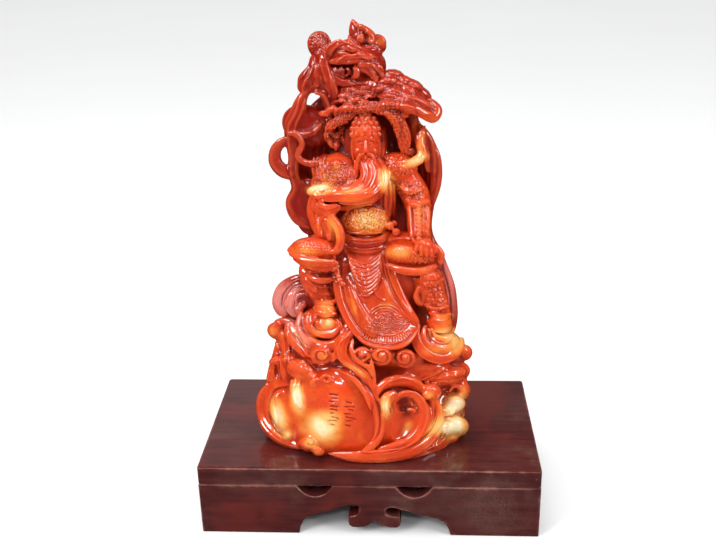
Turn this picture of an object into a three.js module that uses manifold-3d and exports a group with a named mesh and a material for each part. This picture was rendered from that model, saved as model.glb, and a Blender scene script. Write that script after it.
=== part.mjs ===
// A seated general carved in red stone: a bearded, armoured figure under a pine with a dragon over
// it, on a rock of waves and clouds, standing on a low lacquered wooden stand.
// Millimetres, +Z up, the front faces -Y, and the origin is the centre of the stand's underside.
import * as THREE from "three";
import { SimplifyModifier } from "three/addons/modifiers/SimplifyModifier.js";
import { mergeVertices } from "three/addons/utils/BufferGeometryUtils.js";
import Module from "manifold-3d";

const wasm = await Module();
wasm.setup();

// Driving dimensions of the stand
const STAND_WIDTH = 160;
const STAND_DEPTH = 86;
const STAND_HEIGHT = 36;
const TOP_THICKNESS = 9;
const TOP_CORNER_RADIUS = 1.5;
const BOARD_THICKNESS = 8;
const FOOT_LENGTH = 44;
const SIDE_FOOT_LENGTH = 18;
const ARCH_HEIGHT = 10;
const SIDE_ARCH_HEIGHT = 8;
const CUT_SHIFT = 2.75; // the fretted cut sits a little right of the middle
const SLOT_RISE = 7; // the slot over the pendant rises this far above the arch
const PENDANT_HALF_WIDTH = 13;
const MOON_HALF_WIDTH = 8.5;
const MOON_DEPTH = 6;
const MOON_PLACES = [-25, 21.5];
const BOARD_HEIGHT = STAND_HEIGHT - TOP_THICKNESS;

// The statue is carved to shares of its own height, read off a drawing in the drawing's own units.
// The drawing is seen from an eye in front of the statue and above it, so a place on it is
// [across, up, front]: where it is seen on the upright plane through the middle, and how far it
// stands in front of that plane.
const STATUE_HEIGHT = 198;
const DRAWING = { height: 198, ground: 36, eyeAcross: 21, eyeUp: 283.5, eyeAway: 404 };
const UNIT = STATUE_HEIGHT / DRAWING.height;
const STATUE_FACETS = 9200;
const TOUCH_GAP = 0.03;

// The rock's half width at heights above the ground, its depth as a share of its width, and its
// middle, in the drawing's units
const ROCK = {
  profile: [
    [0, -6], [45, -6], [47, 0], [50, 8], [49, 20], [44, 34], [38, 48], [31, 60], [25, 74], [19, 88],
    [12, 100], [0, 104],
  ],
  depth: 0.68,
  across: -4,
};

const STONE = new THREE.MeshStandardMaterial({ color: 0xc8321a, roughness: 0.25, metalness: 0 });
const LACQUER = new THREE.MeshStandardMaterial({ color: 0x4a1a1a, roughness: 0.35, metalness: 0 });

const FRONT = new THREE.Vector3(0, -1, 0);
const BACK = new THREE.Vector3(0, 1, 0);

// How much smaller a thing is than it looks on the drawing when it stands this far forward
function nearness(front) {
  return (DRAWING.eyeAway - front) / DRAWING.eyeAway;
}

// Where a place on the drawing is, above a ground at zero
function place([across, up, front]) {
  const { ground, eyeAcross, eyeUp } = DRAWING;
  const t = nearness(front);
  return new THREE.Vector3(
    UNIT * (eyeAcross + (across - eyeAcross) * t),
    -UNIT * front,
    UNIT * (eyeUp + (up - eyeUp) * t - ground),
  );
}

// Only the positions of a geometry, with shared corners merged
function closed(geometry) {
  geometry.deleteAttribute("normal");
  geometry.deleteAttribute("uv");
  return mergeVertices(geometry, 1e-4);
}

function solidOf(geometry) {
  const merged = closed(geometry);
  return new wasm.Manifold(
    new wasm.Mesh({
      numProp: 3,
      vertProperties: merged.attributes.position.array,
      triVerts: new Uint32Array(merged.index.array),
    }),
  );
}

function geometryOf(solid) {
  const mesh = solid.getMesh();
  const geometry = new THREE.BufferGeometry();
  geometry.setAttribute("position", new THREE.BufferAttribute(mesh.vertProperties, 3));
  geometry.setIndex(new THREE.BufferAttribute(mesh.triVerts, 1));
  geometry.computeVertexNormals();
  return geometry;
}

// An egg at a place: half sizes [across, up, front], turned in the picture, anticlockwise
function ball(at, half, turn = 0, wide = 9, high = 6) {
  const geometry = new THREE.SphereGeometry(1, wide, high);
  const t = nearness(at[2]) * UNIT;
  geometry.rotateX(Math.PI / 2);
  geometry.scale(half[0] * t, half[2] * t, half[1] * t);
  geometry.rotateY(THREE.MathUtils.degToRad(-turn));
  const middle = place(at);
  geometry.translate(middle.x, middle.y, middle.z);
  return solidOf(geometry);
}

// The value at share p along a list of stations
function along(stations, p) {
  if (typeof stations === "number") return stations;
  const step = p * (stations.length - 1);
  const i = Math.min(Math.floor(step), stations.length - 2);
  return THREE.MathUtils.lerp(stations[i], stations[i + 1], step - i);
}

// A closed lock, fold or crest along a smooth line of places. halves are its half widths from the
// first place to the last, thin is its thickness as a share of its width in the direction faced, and
// press is how deep it sits in what lies behind it, as a share of its half width.
function band(places, halves, options = {}) {
  const { thin = 1, sides = 6, steps = 3 * places.length - 2, face = FRONT, blunt = 0.1,
    press = 0.3 } = options;
  const line = new THREE.CatmullRomCurve3(places.map(place), false, "centripetal");
  const geometry = new THREE.SphereGeometry(1, sides, steps);
  const position = geometry.attributes.position;
  const corner = new THREE.Vector3();
  for (let i = 0; i < position.count; i++) {
    corner.fromBufferAttribute(position, i);
    const p = Math.acos(THREE.MathUtils.clamp(corner.y, -1, 1)) / Math.PI;
    const fromEnd = Math.min(p, 1 - p) / blunt;
    const cap = fromEnd >= 1 ? 1 : Math.sqrt(1 - (1 - fromEnd) ** 2);
    const angle = Math.atan2(corner.z, corner.x);
    const middle = line.getPoint(p);
    const ahead = line.getTangent(p);
    const across = new THREE.Vector3().crossVectors(face, ahead).normalize();
    const out = new THREE.Vector3().crossVectors(ahead, across);
    const half = cap * along(halves, p) * UNIT * nearness(-middle.y / UNIT);
    middle.addScaledVector(face, -press * half);
    middle.addScaledVector(across, Math.cos(angle) * half);
    middle.addScaledVector(out, Math.sin(angle) * half * thin);
    position.setXYZ(i, middle.x, middle.y, middle.z);
  }
  return solidOf(geometry);
}

// A curl in the picture plane, from its outer end to its eye. Angles are in degrees, anticlockwise.
function curl(at, outer, inner, start, sweep, halves, options = {}) {
  const count = Math.max(4, Math.round(Math.abs(sweep) / 50));
  const places = [];
  for (let i = 0; i <= count; i++) {
    const angle = THREE.MathUtils.degToRad(start + (sweep * i) / count);
    const radius = THREE.MathUtils.lerp(outer, inner, i / count);
    places.push([at[0] + radius * Math.cos(angle), at[1] + radius * Math.sin(angle), at[2]]);
  }
  return band(places, halves, { steps: 2 * count + 2, ...options });
}

// A thick sheet through rows of places, each row from left to right. backs are how far its back lies
// behind the middle of each row; towards the sides it thins to the edge thickness.
function sheet(rows, backs, edge, nx, ny) {
  const geometry = new THREE.BoxGeometry(1, 1, 1, nx, ny, 1);
  const lines = rows.map((row) => new THREE.CatmullRomCurve3(row.map(place), false, "centripetal"));
  const position = geometry.attributes.position;
  for (let i = 0; i < position.count; i++) {
    const s = THREE.MathUtils.clamp(position.getX(i) + 0.5, 0, 1);
    const t = THREE.MathUtils.clamp(0.5 - position.getY(i), 0, 1);
    const down = new THREE.CatmullRomCurve3(lines.map((line) => line.getPoint(s)), false, "centripetal");
    const point = down.getPoint(t);
    const bulge = edge + (along(backs, t) - edge) * Math.sin(Math.PI * s);
    const back = position.getZ(i) > 0 ? 0 : bulge * UNIT;
    position.setXYZ(i, point.x, point.y + back, point.z);
  }
  return solidOf(geometry);
}

// The rock: a tapering mass, round in front and behind, widest a little over its foot
function rock() {
  const points = ROCK.profile.map(([radius, up]) => new THREE.Vector2(radius * UNIT, up * UNIT));
  const geometry = new THREE.LatheGeometry(points, 20);
  geometry.rotateX(Math.PI / 2);
  geometry.scale(1, ROCK.depth, 1);
  geometry.translate(ROCK.across * UNIT, 0, 0);
  return solidOf(geometry);
}

function boulder() {
  return [
    ball([-16, 40, 22], [22, 28, 15], 12, 16, 12),
    band([[-22, 68, 24], [-9, 64, 30], [0, 52, 35], [4, 39, 36], [3, 26, 37], [-6, 16, 37]],
      [1.5, 3, 3, 3, 2.5, 1.5],
      { thin: 0.8 }),
  ];
}

function waves() {
  return [
    // the long crests that sweep round the front to the right
    band([[-26, 17, 35], [-6, 13.5, 38], [14, 14.5, 36], [32, 21, 26], [43, 29, 12]], [1.5, 3.5, 4, 4, 3]),
    band([[-4, 19, 38], [12, 19, 38], [25, 27, 33], [32, 38, 27], [36, 50, 22]], [1.5, 3.5, 4, 3.5, 2]),
    band([[2, 24, 37], [12, 24, 38], [20, 31, 36], [25, 41, 33], [24, 51, 30]], [2, 3, 3, 3, 2]),
    // the breaker that curls over to the left
    band([[24, 44, 33], [24, 53, 31], [16, 60, 31], [7, 58, 34], [4, 51, 36]], [3, 3.5, 3.5, 3, 2]),
    curl([17, 45, 35], 7, 2, 120, -330, [2.2, 2, 1.5]),
    ball([19, 41, 33], [3.2, 3.2, 4], 0, 7, 5),
    ball([12, 42, 27], [13, 14, 10], 0, 10, 7),
    band([[11, 53, 34], [7, 48, 35.5], [6.5, 42, 36]], [1.5, 2, 1.6]),
    band([[13, 51, 33.5], [10.5, 45, 35], [10, 38.5, 35.5]], [1.4, 2, 2]),
    // the rocks and foam down the right edge
    ball([29, 56, 26], [5, 6, 6], -20, 8, 6),
    ball([28, 50, 29], [4, 3, 4], 0, 8, 5),
    ball([37, 61, 16], [9, 6, 8], 25, 9, 6),
    ball([41, 47, 14], [6.5, 7, 7], 0, 9, 6),
    ball([41, 33, 15], [6.5, 7.5, 7], -10, 9, 6),
    band([[40, 53, 12], [44, 60, 9], [47, 57, 8], [47.5, 52, 8]], [2, 2.2, 2.2, 1.6]),
    band([[26, 22, 32], [33, 33, 26], [36, 43, 22], [35, 53, 20]], [2, 3, 3, 2]),
    band([[17, 30, 36], [20, 36, 36], [21, 42, 35]], [1.6, 2.4, 1.4]),
    // the breaker on the left, open to the right, with a drop of foam in it
    band([[-42, 57, 14], [-50, 56, 12], [-55, 47, 12], [-55.5, 36, 14], [-50, 26, 20], [-42, 22, 26]],
      [1.5, 2.6, 2.8, 2.8, 2.5, 2]),
    ball([-45, 38, 20], [5, 9, 6], 12, 9, 7),
    band([[-46, 56, 15], [-42, 51, 19], [-41, 44, 23]], [1.4, 1.8, 1.2]),
    ball([-42, 26, 24], [3, 3, 4], 0, 7, 5),
    ball([-33, 22, 30], [5.5, 4.5, 6], -15, 8, 6),
    ball([-26, 18, 34], [3, 2.8, 4], 0, 7, 5),
    // the water that runs down between the rocks on the left
    ball([-37, 65, 22], [7, 6, 7], -25, 9, 6),
    ball([-31, 60, 27], [4, 4, 4], 0, 8, 5),
    band([[-39, 63, 25], [-38.5, 52, 27], [-36.5, 43, 29]], [1.6, 1.7, 1.2]),
    band([[-34, 60, 28], [-34.5, 51, 29], [-33.5, 43, 30]], [1.4, 1.5, 1]),
    curl([-23, 59, 32], 5.5, 1.5, 250, 330, [1.5, 1.6, 1.3]),
    curl([-25, 54, 33], 4, 3, 180, 150, [1.3, 1.5, 1]),
  ];
}

function clouds() {
  return [
    // the tall scroll at the left edge
    ball([-45.5, 86.5, 8], [4.4, 4.6, 5], 20, 8, 6),
    band([[-46, 89, 8], [-41, 91, 9], [-35, 90, 12]], [2, 2.4, 2]),
    band([[-47, 88, 9], [-42.5, 85, 11], [-41, 76, 13], [-43, 66, 16], [-45, 58, 17]],
      [2, 2.2, 2.2, 2, 1.5]),
    band([[-43, 82, 7], [-45, 73, 9], [-48, 64, 11], [-50, 56, 12]], [2, 2.5, 2.8, 2.5]),
    ball([-46, 69, 12], [4, 3, 4], 15, 7, 5),
    // the boss of cloud under the foot on the left
    ball([-22, 89, 17], [12, 10.5, 10], -10, 12, 8),
    band([[-32, 95, 20], [-32.5, 85, 24], [-25, 79, 27], [-15, 81.5, 28], [-11.5, 90, 26], [-15, 97, 22]],
      [1.6, 2.2, 2.4, 2.4, 2.2, 1.4]),
    band([[-26.5, 95, 23], [-27.5, 88, 25], [-21, 84, 26.5], [-15, 88, 26]], [1.8, 2.2, 2.2, 1.6]),
    ball([-18, 91, 27], [3.8, 3.8, 4], 0, 8, 6),
    band([[-38, 90, 15], [-34, 82, 20], [-27, 75, 26]], [3.5, 4.5, 4]),
    // small curls round the middle
    curl([-23, 72.5, 27], 5, 1.2, 60, -400, [2, 2, 1.6]),
    ball([-23, 73, 22], [8, 8, 7], 0, 8, 6),
    curl([-2.5, 73, 33], 4.8, 1.2, 20, 400, [1.5, 1.6, 1.3]),
    curl([6, 72, 33], 5, 1.2, 100, 420, [1.5, 1.6, 1.3]),
    curl([17, 70.5, 29], 4.4, 1.6, 160, -360, [1.6, 1.8, 1.8]),
    ball([4, 69, 25], [22, 7, 10], 0, 10, 6),
    // the long C in the middle that ends in a point over the boulder
    band([[-5, 85, 29], [-12.5, 81, 30], [-14, 74, 31], [-9.5, 68, 32], [-2, 64, 33], [1, 57, 34],
      [0.5, 49, 35]],
      [1.5, 2.8, 3, 3, 2.4, 1.8, 0.8]),
    band([[-4, 81, 32], [-7.5, 77, 34], [-6.5, 71, 35], [-1, 67, 36], [2.5, 61, 35], [2.5, 53, 35]],
      [1, 1.5, 1.5, 1.4, 1.2, 0.7]),
    // the bank of cloud under the foot on the right
    ball([33, 79, 17], [11, 8, 11], 10, 12, 7),
    band([[24.5, 91, 24], [24, 82, 27], [29, 75, 29], [37, 73.5, 27], [43, 79, 22], [42.5, 88, 16]],
      [1.4, 2.4, 2.8, 2.8, 2.6, 1.6]),
    band([[28.5, 86, 25], [31, 80, 27], [37, 78.5, 26.5], [41, 83, 22]], [1.8, 2.5, 2.5, 1.8]),
    ball([45.5, 75, 5], [4.4, 4.4, 5], 0, 8, 6),
    band([[45, 71, 7], [36, 69, 14], [27, 64, 22], [22, 58, 28]], [2.5, 3.5, 3, 1.5]),
  ];
}

function legs() {
  return [
    ball([2, 112, 4], [33, 26, 17], 0, 12, 9),
    // the leg on the left: thigh, shin and boot
    band([[-5, 128, 8], [-20, 130, 14], [-29, 126, 17]], [8, 8, 7]),
    ball([-25, 128.5, 17], [11.5, 7, 9], -4, 12, 8),
    band([[-28, 130, 18], [-33, 129.5, 19], [-37.5, 127.5, 19]], [4, 3, 1]),
    band([[-36, 127, 20], [-31, 123.5, 24], [-24, 122.2, 26], [-15, 121, 27]], [1.4, 2, 2, 1.6]),
    band([[-26, 120, 15], [-25.5, 112, 16], [-22, 104, 17], [-20, 98, 19]], [7, 6.5, 5.2, 5]),
    band([[-32, 120, 16], [-29, 114, 19], [-26.5, 108, 20]], [1.5, 1.8, 1.2]),
    band([[-29, 119, 18], [-23, 115.5, 20.5], [-17, 114.5, 19]], [1.8, 2.2, 1.8]),
    ball([-21, 97.5, 22], [5.5, 4.2, 7], -10, 9, 6),
    // the leg on the right
    band([[4, 128, 9], [19, 129, 15], [27, 123, 19]], [8.5, 8.5, 7.5]),
    ball([21, 126, 17], [11.5, 7.5, 9.5], -8, 12, 8),
    band([[10, 122, 24], [17, 119, 26], [25, 119, 26], [32, 123, 21]], [1.6, 2.6, 2.6, 1.6]),
    band([[27, 118, 17], [29.5, 108, 18], [33, 98, 18], [34.5, 92, 19]], [7.5, 6.5, 5.2, 5]),
    band([[26, 116, 21], [27, 109, 22], [30, 101, 22.5]], [1.7, 2.2, 1.7]),
    band([[32, 116, 20], [32, 108, 22], [34, 100, 22]], [1.7, 2.2, 1.7]),
    ball([34, 90.5, 22], [6, 5.5, 8], -12, 9, 6),
    band([[29, 90, 22], [33, 88, 25.5], [39, 89, 22]], [1.6, 2.2, 1.6]),
  ];
}

function body() {
  return [
    ball([0, 150, 1], [15, 27, 12], 0, 12, 8),
    ball([0, 161, 5], [14.5, 10, 9.5], 0, 10, 7),
    ball([-1, 142, 9], [12.5, 9.5, 9.5], 0, 14, 9),
    ball([-1, 130, 9], [12, 7, 9], 0, 10, 6),
    // belt
    band([[-12, 137.5, 12], [-7.5, 133, 18], [-1, 131.5, 19.5], [6, 133, 18], [10.5, 137, 12]],
      [1.2, 1.4, 1.4, 1.4, 1.2]),
    band([[-11.5, 133, 13], [-7, 129, 18], [-1, 127.5, 19], [5, 129, 18], [10, 133, 13]],
      [1.2, 1.4, 1.4, 1.4, 1.2]),
    // strap and hanging ends across the chest
    band([[10, 161, 12.5], [2, 153, 15], [-8, 149.5, 15.5]], [1.4, 1.6, 1.4]),
    band([[9, 163, 14], [9.5, 156, 15], [9, 148, 15]], [1.3, 1.3, 1]),
    band([[12, 163, 11], [12.3, 156, 11], [11.6, 148, 10]], [1.3, 1.6, 1.3]),
  ];
}

function arms() {
  return [
    // the arm on the right, down to the hand on the knee
    ball([14, 168, 6], [9, 7, 8.5], -15, 10, 7),
    band([[16, 165, 7], [21.5, 156, 9], [24, 147, 12]], [6.5, 6.3, 5.8], { sides: 8 }),
    band([[24, 148, 12], [24, 140, 17], [25, 133, 22]], [5.8, 5, 4], { sides: 8 }),
    band([[23, 152, 16], [23.3, 143, 20], [23.5, 134, 25]], [1.2, 1.5, 1.3]),
    band([[18.5, 150, 13], [20, 142, 17.5], [21, 134, 21.5]], [1.4, 1.8, 1.5]),
    ball([26.5, 130.5, 22.5], [5.2, 4, 5.5], -25, 8, 6),
    band([[28, 133, 23], [30.5, 130, 25], [31, 126, 25]], [1.6, 1.7, 1.4]),
    band([[24, 131, 26], [26, 128, 28], [26.5, 125, 27]], [1.5, 1.8, 1.4]),
    // the arm on the left, bent to hold the beard
    ball([-13, 167, 7], [9, 8, 8], 20, 10, 7),
    band([[-14, 166, 9], [-19, 161, 12], [-23.5, 158.5, 14]], [6.5, 5.5, 3.4], { sides: 8 }),
    ball([-22.5, 158, 15], [4.8, 3, 4.5], 8, 9, 6),
    band([[-22, 157, 16], [-15, 156, 19], [-8, 158, 21]], [3, 3.6, 3.2]),
    ball([-14, 168.5, 14], [3, 3.4, 3], 30, 7, 5),
    // the short cape over that shoulder, in pleats
    ball([-17.5, 168, 6], [6, 6.5, 6], 0, 8, 6),
    band([[-22, 173.5, 9], [-22.5, 168, 10], [-22, 163, 10]], [1, 1.3, 1]),
    band([[-19, 173.5, 11], [-19.3, 169, 12.5], [-19, 165, 13]], [1, 1.2, 1]),
    // the sleeve that hangs from the bent arm
    band([[-23, 155, 14], [-22.5, 147, 15], [-19, 139, 17], [-16, 132, 20]], [2.8, 5, 5, 3.4],
      { thin: 0.7 }),
    band([[-11, 151.5, 21], [-17, 148, 20], [-22, 150, 17], [-19, 154.5, 19]], [1, 2.2, 2.2, 1.2]),
    band([[-18, 147, 19], [-14.5, 141, 21], [-12, 134, 22], [-14, 128.5, 23], [-19, 129.5, 22]],
      [1, 1.7, 2, 1.7, 1]),
    band([[-23, 149, 17], [-22, 141, 18], [-19.5, 133, 20]], [1, 1.5, 1]),
  ];
}

function head() {
  return [
    band([[0, 172, 6], [0, 165, 4]], [6, 8]),
    ball([0, 177.5, 10], [6.4, 9, 8], 0, 12, 9),
    ball([0, 186.5, 9], [7.6, 8.5, 8.5], 0, 12, 8),
    ball([-0.5, 194.5, 9], [2.8, 2.4, 3], 0, 7, 5),
    band([[-7.3, 186.5, 9], [-4.5, 184.5, 15.5], [0, 184, 17.8], [4.5, 184.5, 15.5], [7.3, 186.5, 9]],
      [1, 1.1, 1.3, 1.1, 1]),
    band([[-7, 187, 7], [-7.2, 179, 7], [-6.6, 170, 8]], [2, 2.6, 2]),
    band([[7, 187, 7], [7.2, 179, 7], [6.6, 170, 8]], [2, 2.6, 2]),
    band([[0, 181.5, 16.5], [0, 178.8, 18.2], [0, 177, 17.6]], [0.9, 1.4, 1.2]),
    band([[-4.6, 180.6, 15], [-2.2, 181.8, 17.2], [0, 181.2, 17.6], [2.2, 181.8, 17.2], [4.6, 180.6, 15]],
      [0.9, 1.1, 1.1, 1.1, 0.9], { press: 0.6 }),
    ball([-2.4, 179.4, 16], [1.4, 1, 1.4], 0, 6, 4),
    ball([2.4, 179.4, 16], [1.4, 1, 1.4], 0, 6, 4),
    ball([-3.3, 176.4, 15.4], [1.9, 1.9, 1.8], 0, 6, 4),
    ball([3.3, 176.4, 15.4], [1.9, 1.9, 1.8], 0, 6, 4),
  ];
}

function beard() {
  return [
    band([[1, 173, 15], [4, 165, 19], [1, 158.5, 21], [-7, 155.5, 23], [-15, 155, 22], [-20.5, 153, 20]],
      [2.6, 3.6, 3.6, 2.8, 2, 1]),
    band([[-2, 172, 15], [-0.5, 164, 18], [-5, 158.5, 20], [-14, 157, 21]], [2.2, 2.6, 2.2, 1.2]),
    band([[5, 173, 13], [7, 164, 17], [4, 156.5, 20], [-4, 152.5, 22], [-12, 152, 22]], [2, 2.8, 2.6, 2, 1]),
    band([[7, 171, 11], [9.5, 165, 14], [9, 159, 15]], [1.6, 2, 1]),
    band([[0, 175.5, 18], [-3.6, 172.5, 18], [-4.6, 167, 17]], [0.9, 1.3, 0.7]),
    band([[0, 175.5, 18], [3.6, 172.5, 18], [5, 167, 18]], [0.9, 1.3, 0.7]),
  ];
}

function apron() {
  return [
    sheet([
      [[-12, 130, 10], [-6, 127, 16], [-1, 126, 18], [4, 127, 17], [9, 131, 10]],
      [[-15.5, 119, 16], [-9, 114, 21], [-1, 112, 23], [6, 114, 22], [12, 120, 16]],
      [[-15.5, 106, 20], [-9, 101, 25], [0, 99, 27], [8, 101, 26], [16, 106, 20]],
      [[-12.5, 95, 24], [-6, 89, 28], [4, 85, 31], [13, 87, 30], [21, 95, 23]],
      [[-8.5, 88, 27], [-3, 81, 31], [7, 77.5, 34], [17, 79.5, 32], [24, 88, 25]],
    ], [12, 14, 16, 18, 16], 10, 8, 8),
    // swags
    band([[-10, 127, 15], [-6, 122.5, 19.5], [-1.5, 121, 21], [3, 123, 20], [6, 128, 16]],
      [0.8, 1.2, 1.3, 1.2, 0.8]),
    band([[-11, 124, 16], [-6.5, 117.5, 21], [-1, 115.5, 22.5], [4, 118, 21.5], [7, 126, 17]],
      [0.9, 1.4, 1.5, 1.4, 0.9]),
    band([[-11, 119, 18], [-6, 111.5, 22.5], [0, 110, 24], [5, 113, 23], [8, 121, 20]],
      [0.9, 1.4, 1.6, 1.4, 0.9]),
    // edges and long folds
    band([[-13.5, 126, 15], [-14.5, 114, 19], [-13.5, 102, 22.5], [-9, 90, 27.5], [-3, 81.5, 31.5]],
      [1.8, 2.4, 2.4, 2.2, 1.8]),
    band([[-10, 116, 19], [-7, 104, 24.5], [-2, 93, 28.5], [3, 82, 32.5]], [1.4, 2.2, 2.4, 2]),
    band([[9, 130, 12], [10.5, 119, 18.5], [14.5, 107, 22], [19, 97, 24.5], [23.5, 90, 25]],
      [2, 2.4, 2.4, 2.4, 2]),
    band([[-8.5, 88.5, 27], [-3, 81.5, 31], [7, 78, 34], [17, 80, 32], [23.5, 88.5, 25.5]],
      [1.6, 2, 2.2, 2, 1.6]),
  ];
}

function cloak() {
  return [
    // the shell behind the figure
    sheet([
      [[-29, 189, 4], [-19, 193, -1], [-3, 201, -2], [12, 201, 0], [20, 196, 3]],
      [[-33, 181, 5], [-21, 182, -3], [0, 184, -5], [17, 184, -3], [26, 185, 3]],
      [[-32, 168, 4], [-22, 166, -4], [0, 164, -6], [20, 166, -4], [31, 168, 3]],
      [[-33, 150, 4], [-24, 148, -3], [0, 148, -6], [20, 148, -4], [28.5, 150, 2]],
      [[-27, 134, 3], [-20, 132, -2], [0, 130, -5], [20, 132, -3], [29, 134, 1]],
      [[-26, 114, 2], [-18, 112, 0], [0, 110, 0], [22, 112, 0], [36.5, 114, 0]],
      [[-28, 92, 0], [-16, 90, 0], [0, 90, 0], [22, 90, 0], [40, 92, -2]],
    ], [4, 12, 17, 20, 20, 20, 16], 4, 12, 12),
    ball([-1, 142, -8], [22, 48, 14], 0, 14, 10),
    // rolled edge down the right
    band([[24, 188, 6], [28, 180, 5], [31.3, 171, 4], [31.6, 161, 3], [28.8, 150, 2], [28.4, 138, 2],
      [33.2, 125, 2],
      [38, 112, 1], [39.8, 99, 1], [40.4, 85, 4]], [1.6, 2, 2, 2, 1.8, 1.6, 1.8, 2, 2, 2], { steps: 20 }),
    band([[26, 185, 5], [29, 176, 5], [30.5, 166, 4]], [1.2, 1.8, 1.2]),
    band([[31, 131, 3], [34, 120, 3], [36.5, 108, 3], [37.5, 97, 4]], [1.4, 2, 2, 1.4]),
    // the pink tail of cloth at the left
    band([[-26, 113, 10], [-34, 111.5, 9], [-40.4, 106.5, 8], [-42.8, 99, 9], [-39.5, 93, 12]],
      [1.6, 3.4, 4, 3.4, 1.8],
      { thin: 0.6, sides: 8 }),
    band([[-28, 108, 12], [-35, 105, 12], [-38, 99, 13], [-34, 95, 16]], [1.2, 2.6, 2.8, 1.4]),
    band([[-31, 101, 14], [-34, 97, 15.5], [-31, 93, 18]], [1.4, 2.2, 1.6]),
    ball([-30, 102, 6], [11, 12, 8], 0, 9, 6),
  ];
}

function scarf() {
  return [
    band([[-27, 202, 6], [-30.6, 193, 6], [-34.2, 187, 6], [-33.2, 181, 7], [-33, 174, 7], [-33.5, 166, 6],
      [-32, 158, 5], [-36, 151, 5], [-33, 144, 6], [-27, 139, 8]],
      [1.8, 2.6, 2.4, 1.8, 1.8, 2, 2.2, 2, 2.2, 1.6],
      { thin: 0.75, steps: 22 }),
    band([[-33, 180.5, 7], [-37, 180, 7], [-40.6, 176.3, 6], [-41, 171.3, 6], [-37.6, 167.3, 6],
      [-32, 165, 6]],
      [1.6, 1.9, 2.4, 3, 3, 2], { steps: 14 }),
    band([[-35, 184, 9], [-30.5, 183.5, 10], [-29, 178.5, 10], [-30.5, 173, 10], [-26, 170.5, 10],
      [-18, 171, 10]],
      [0.9, 1.3, 1.3, 1.3, 1.5, 1.2]),
    band([[-29, 161, 5], [-30.5, 152, 5], [-27.5, 145, 6], [-23.5, 139, 8]], [1.4, 1.9, 1.9, 1.6]),
    // the loop round the upper hole
    band([[-15, 189, 5], [-15.5, 197, 6], [-19, 203.5, 6], [-25, 203.5, 5], [-27.4, 198, 5], [-26, 191.5, 5],
      [-20, 190.5, 4]], [2.2, 2.6, 2.2, 1.8, 1.6, 2, 2], { steps: 16 }),
    // the end that flies up on the right
    band([[15, 170.5, 13], [21, 170.5, 12], [25.5, 175, 10], [24, 181, 9], [27, 187, 7]],
      [1.2, 1.9, 1.7, 1.3, 0.9]),
  ];
}

// A tuft of needles: a low dome with its rim drawn into flutes
function tuft(at, half, turn = 0, flutes = 6) {
  const geometry = new THREE.SphereGeometry(1, flutes * 2, 5);
  const position = geometry.attributes.position;
  const t = nearness(at[2]) * UNIT;
  for (let i = 0; i < position.count; i++) {
    const angle = Math.atan2(position.getZ(i), position.getX(i));
    const low = 1 - Math.abs(position.getY(i));
    const rim = 1 + 0.1 * low * Math.cos(flutes * angle);
    position.setXYZ(i, position.getX(i) * rim, position.getY(i), position.getZ(i) * rim);
  }
  geometry.rotateX(Math.PI / 2);
  geometry.scale(half[0] * t, half[2] * t, half[1] * t);
  geometry.rotateY(THREE.MathUtils.degToRad(-turn));
  const middle = place(at);
  geometry.translate(middle.x, middle.y, middle.z);
  return solidOf(geometry);
}

function pine() {
  const tufts = [
    [13, 208.6, 7, -5], [20, 206, 7, -15], [7, 205, 11, 0], [14, 204, 12, -5], [21.5, 201, 9, -25],
    [9, 200.5, 14, 5],
    [17, 199.5, 14, -10], [23.5, 197.5, 10, -30], [-8, 204, 9, 10], [-1.5, 205.5, 9, 0], [-9.5, 199, 11, 10],
    [-3, 200, 13, 0], [2.5, 202.5, 12, -5], [3, 197.5, 15, 0], [12, 195.5, 15, -15],
  ];
  return [
    ball([8, 200, 3], [20, 9, 9], -5, 12, 7),
    ...tufts.map(([x, u, f, turn]) => tuft([x, u, f], [5.4, 2.9, 5], turn)),
    // the rolled lobe at the right
    band([[18, 195.5, 12], [24, 192.5, 13], [29, 191, 12], [30, 194, 10], [26, 197, 8]],
      [1.8, 2.2, 2.2, 2.2, 2]),
    ball([25, 194, 8], [5, 4, 6], -20, 8, 6),
    // the branch that arches over the head, and the trunk behind it
    band([[-19, 184.5, 9], [-13, 189, 12], [-5, 193, 14], [4, 195, 15], [11, 192, 15], [16.5, 186, 13],
      [18, 179, 11],
      [16, 173, 9]], [1.6, 2.4, 2.2, 2, 2.2, 2.4, 2.4, 1.8], { steps: 16 }),
    band([[20, 194, 6], [22, 184, 3], [24, 174, 1]], [3, 2.6, 2]),
  ];
}

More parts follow.
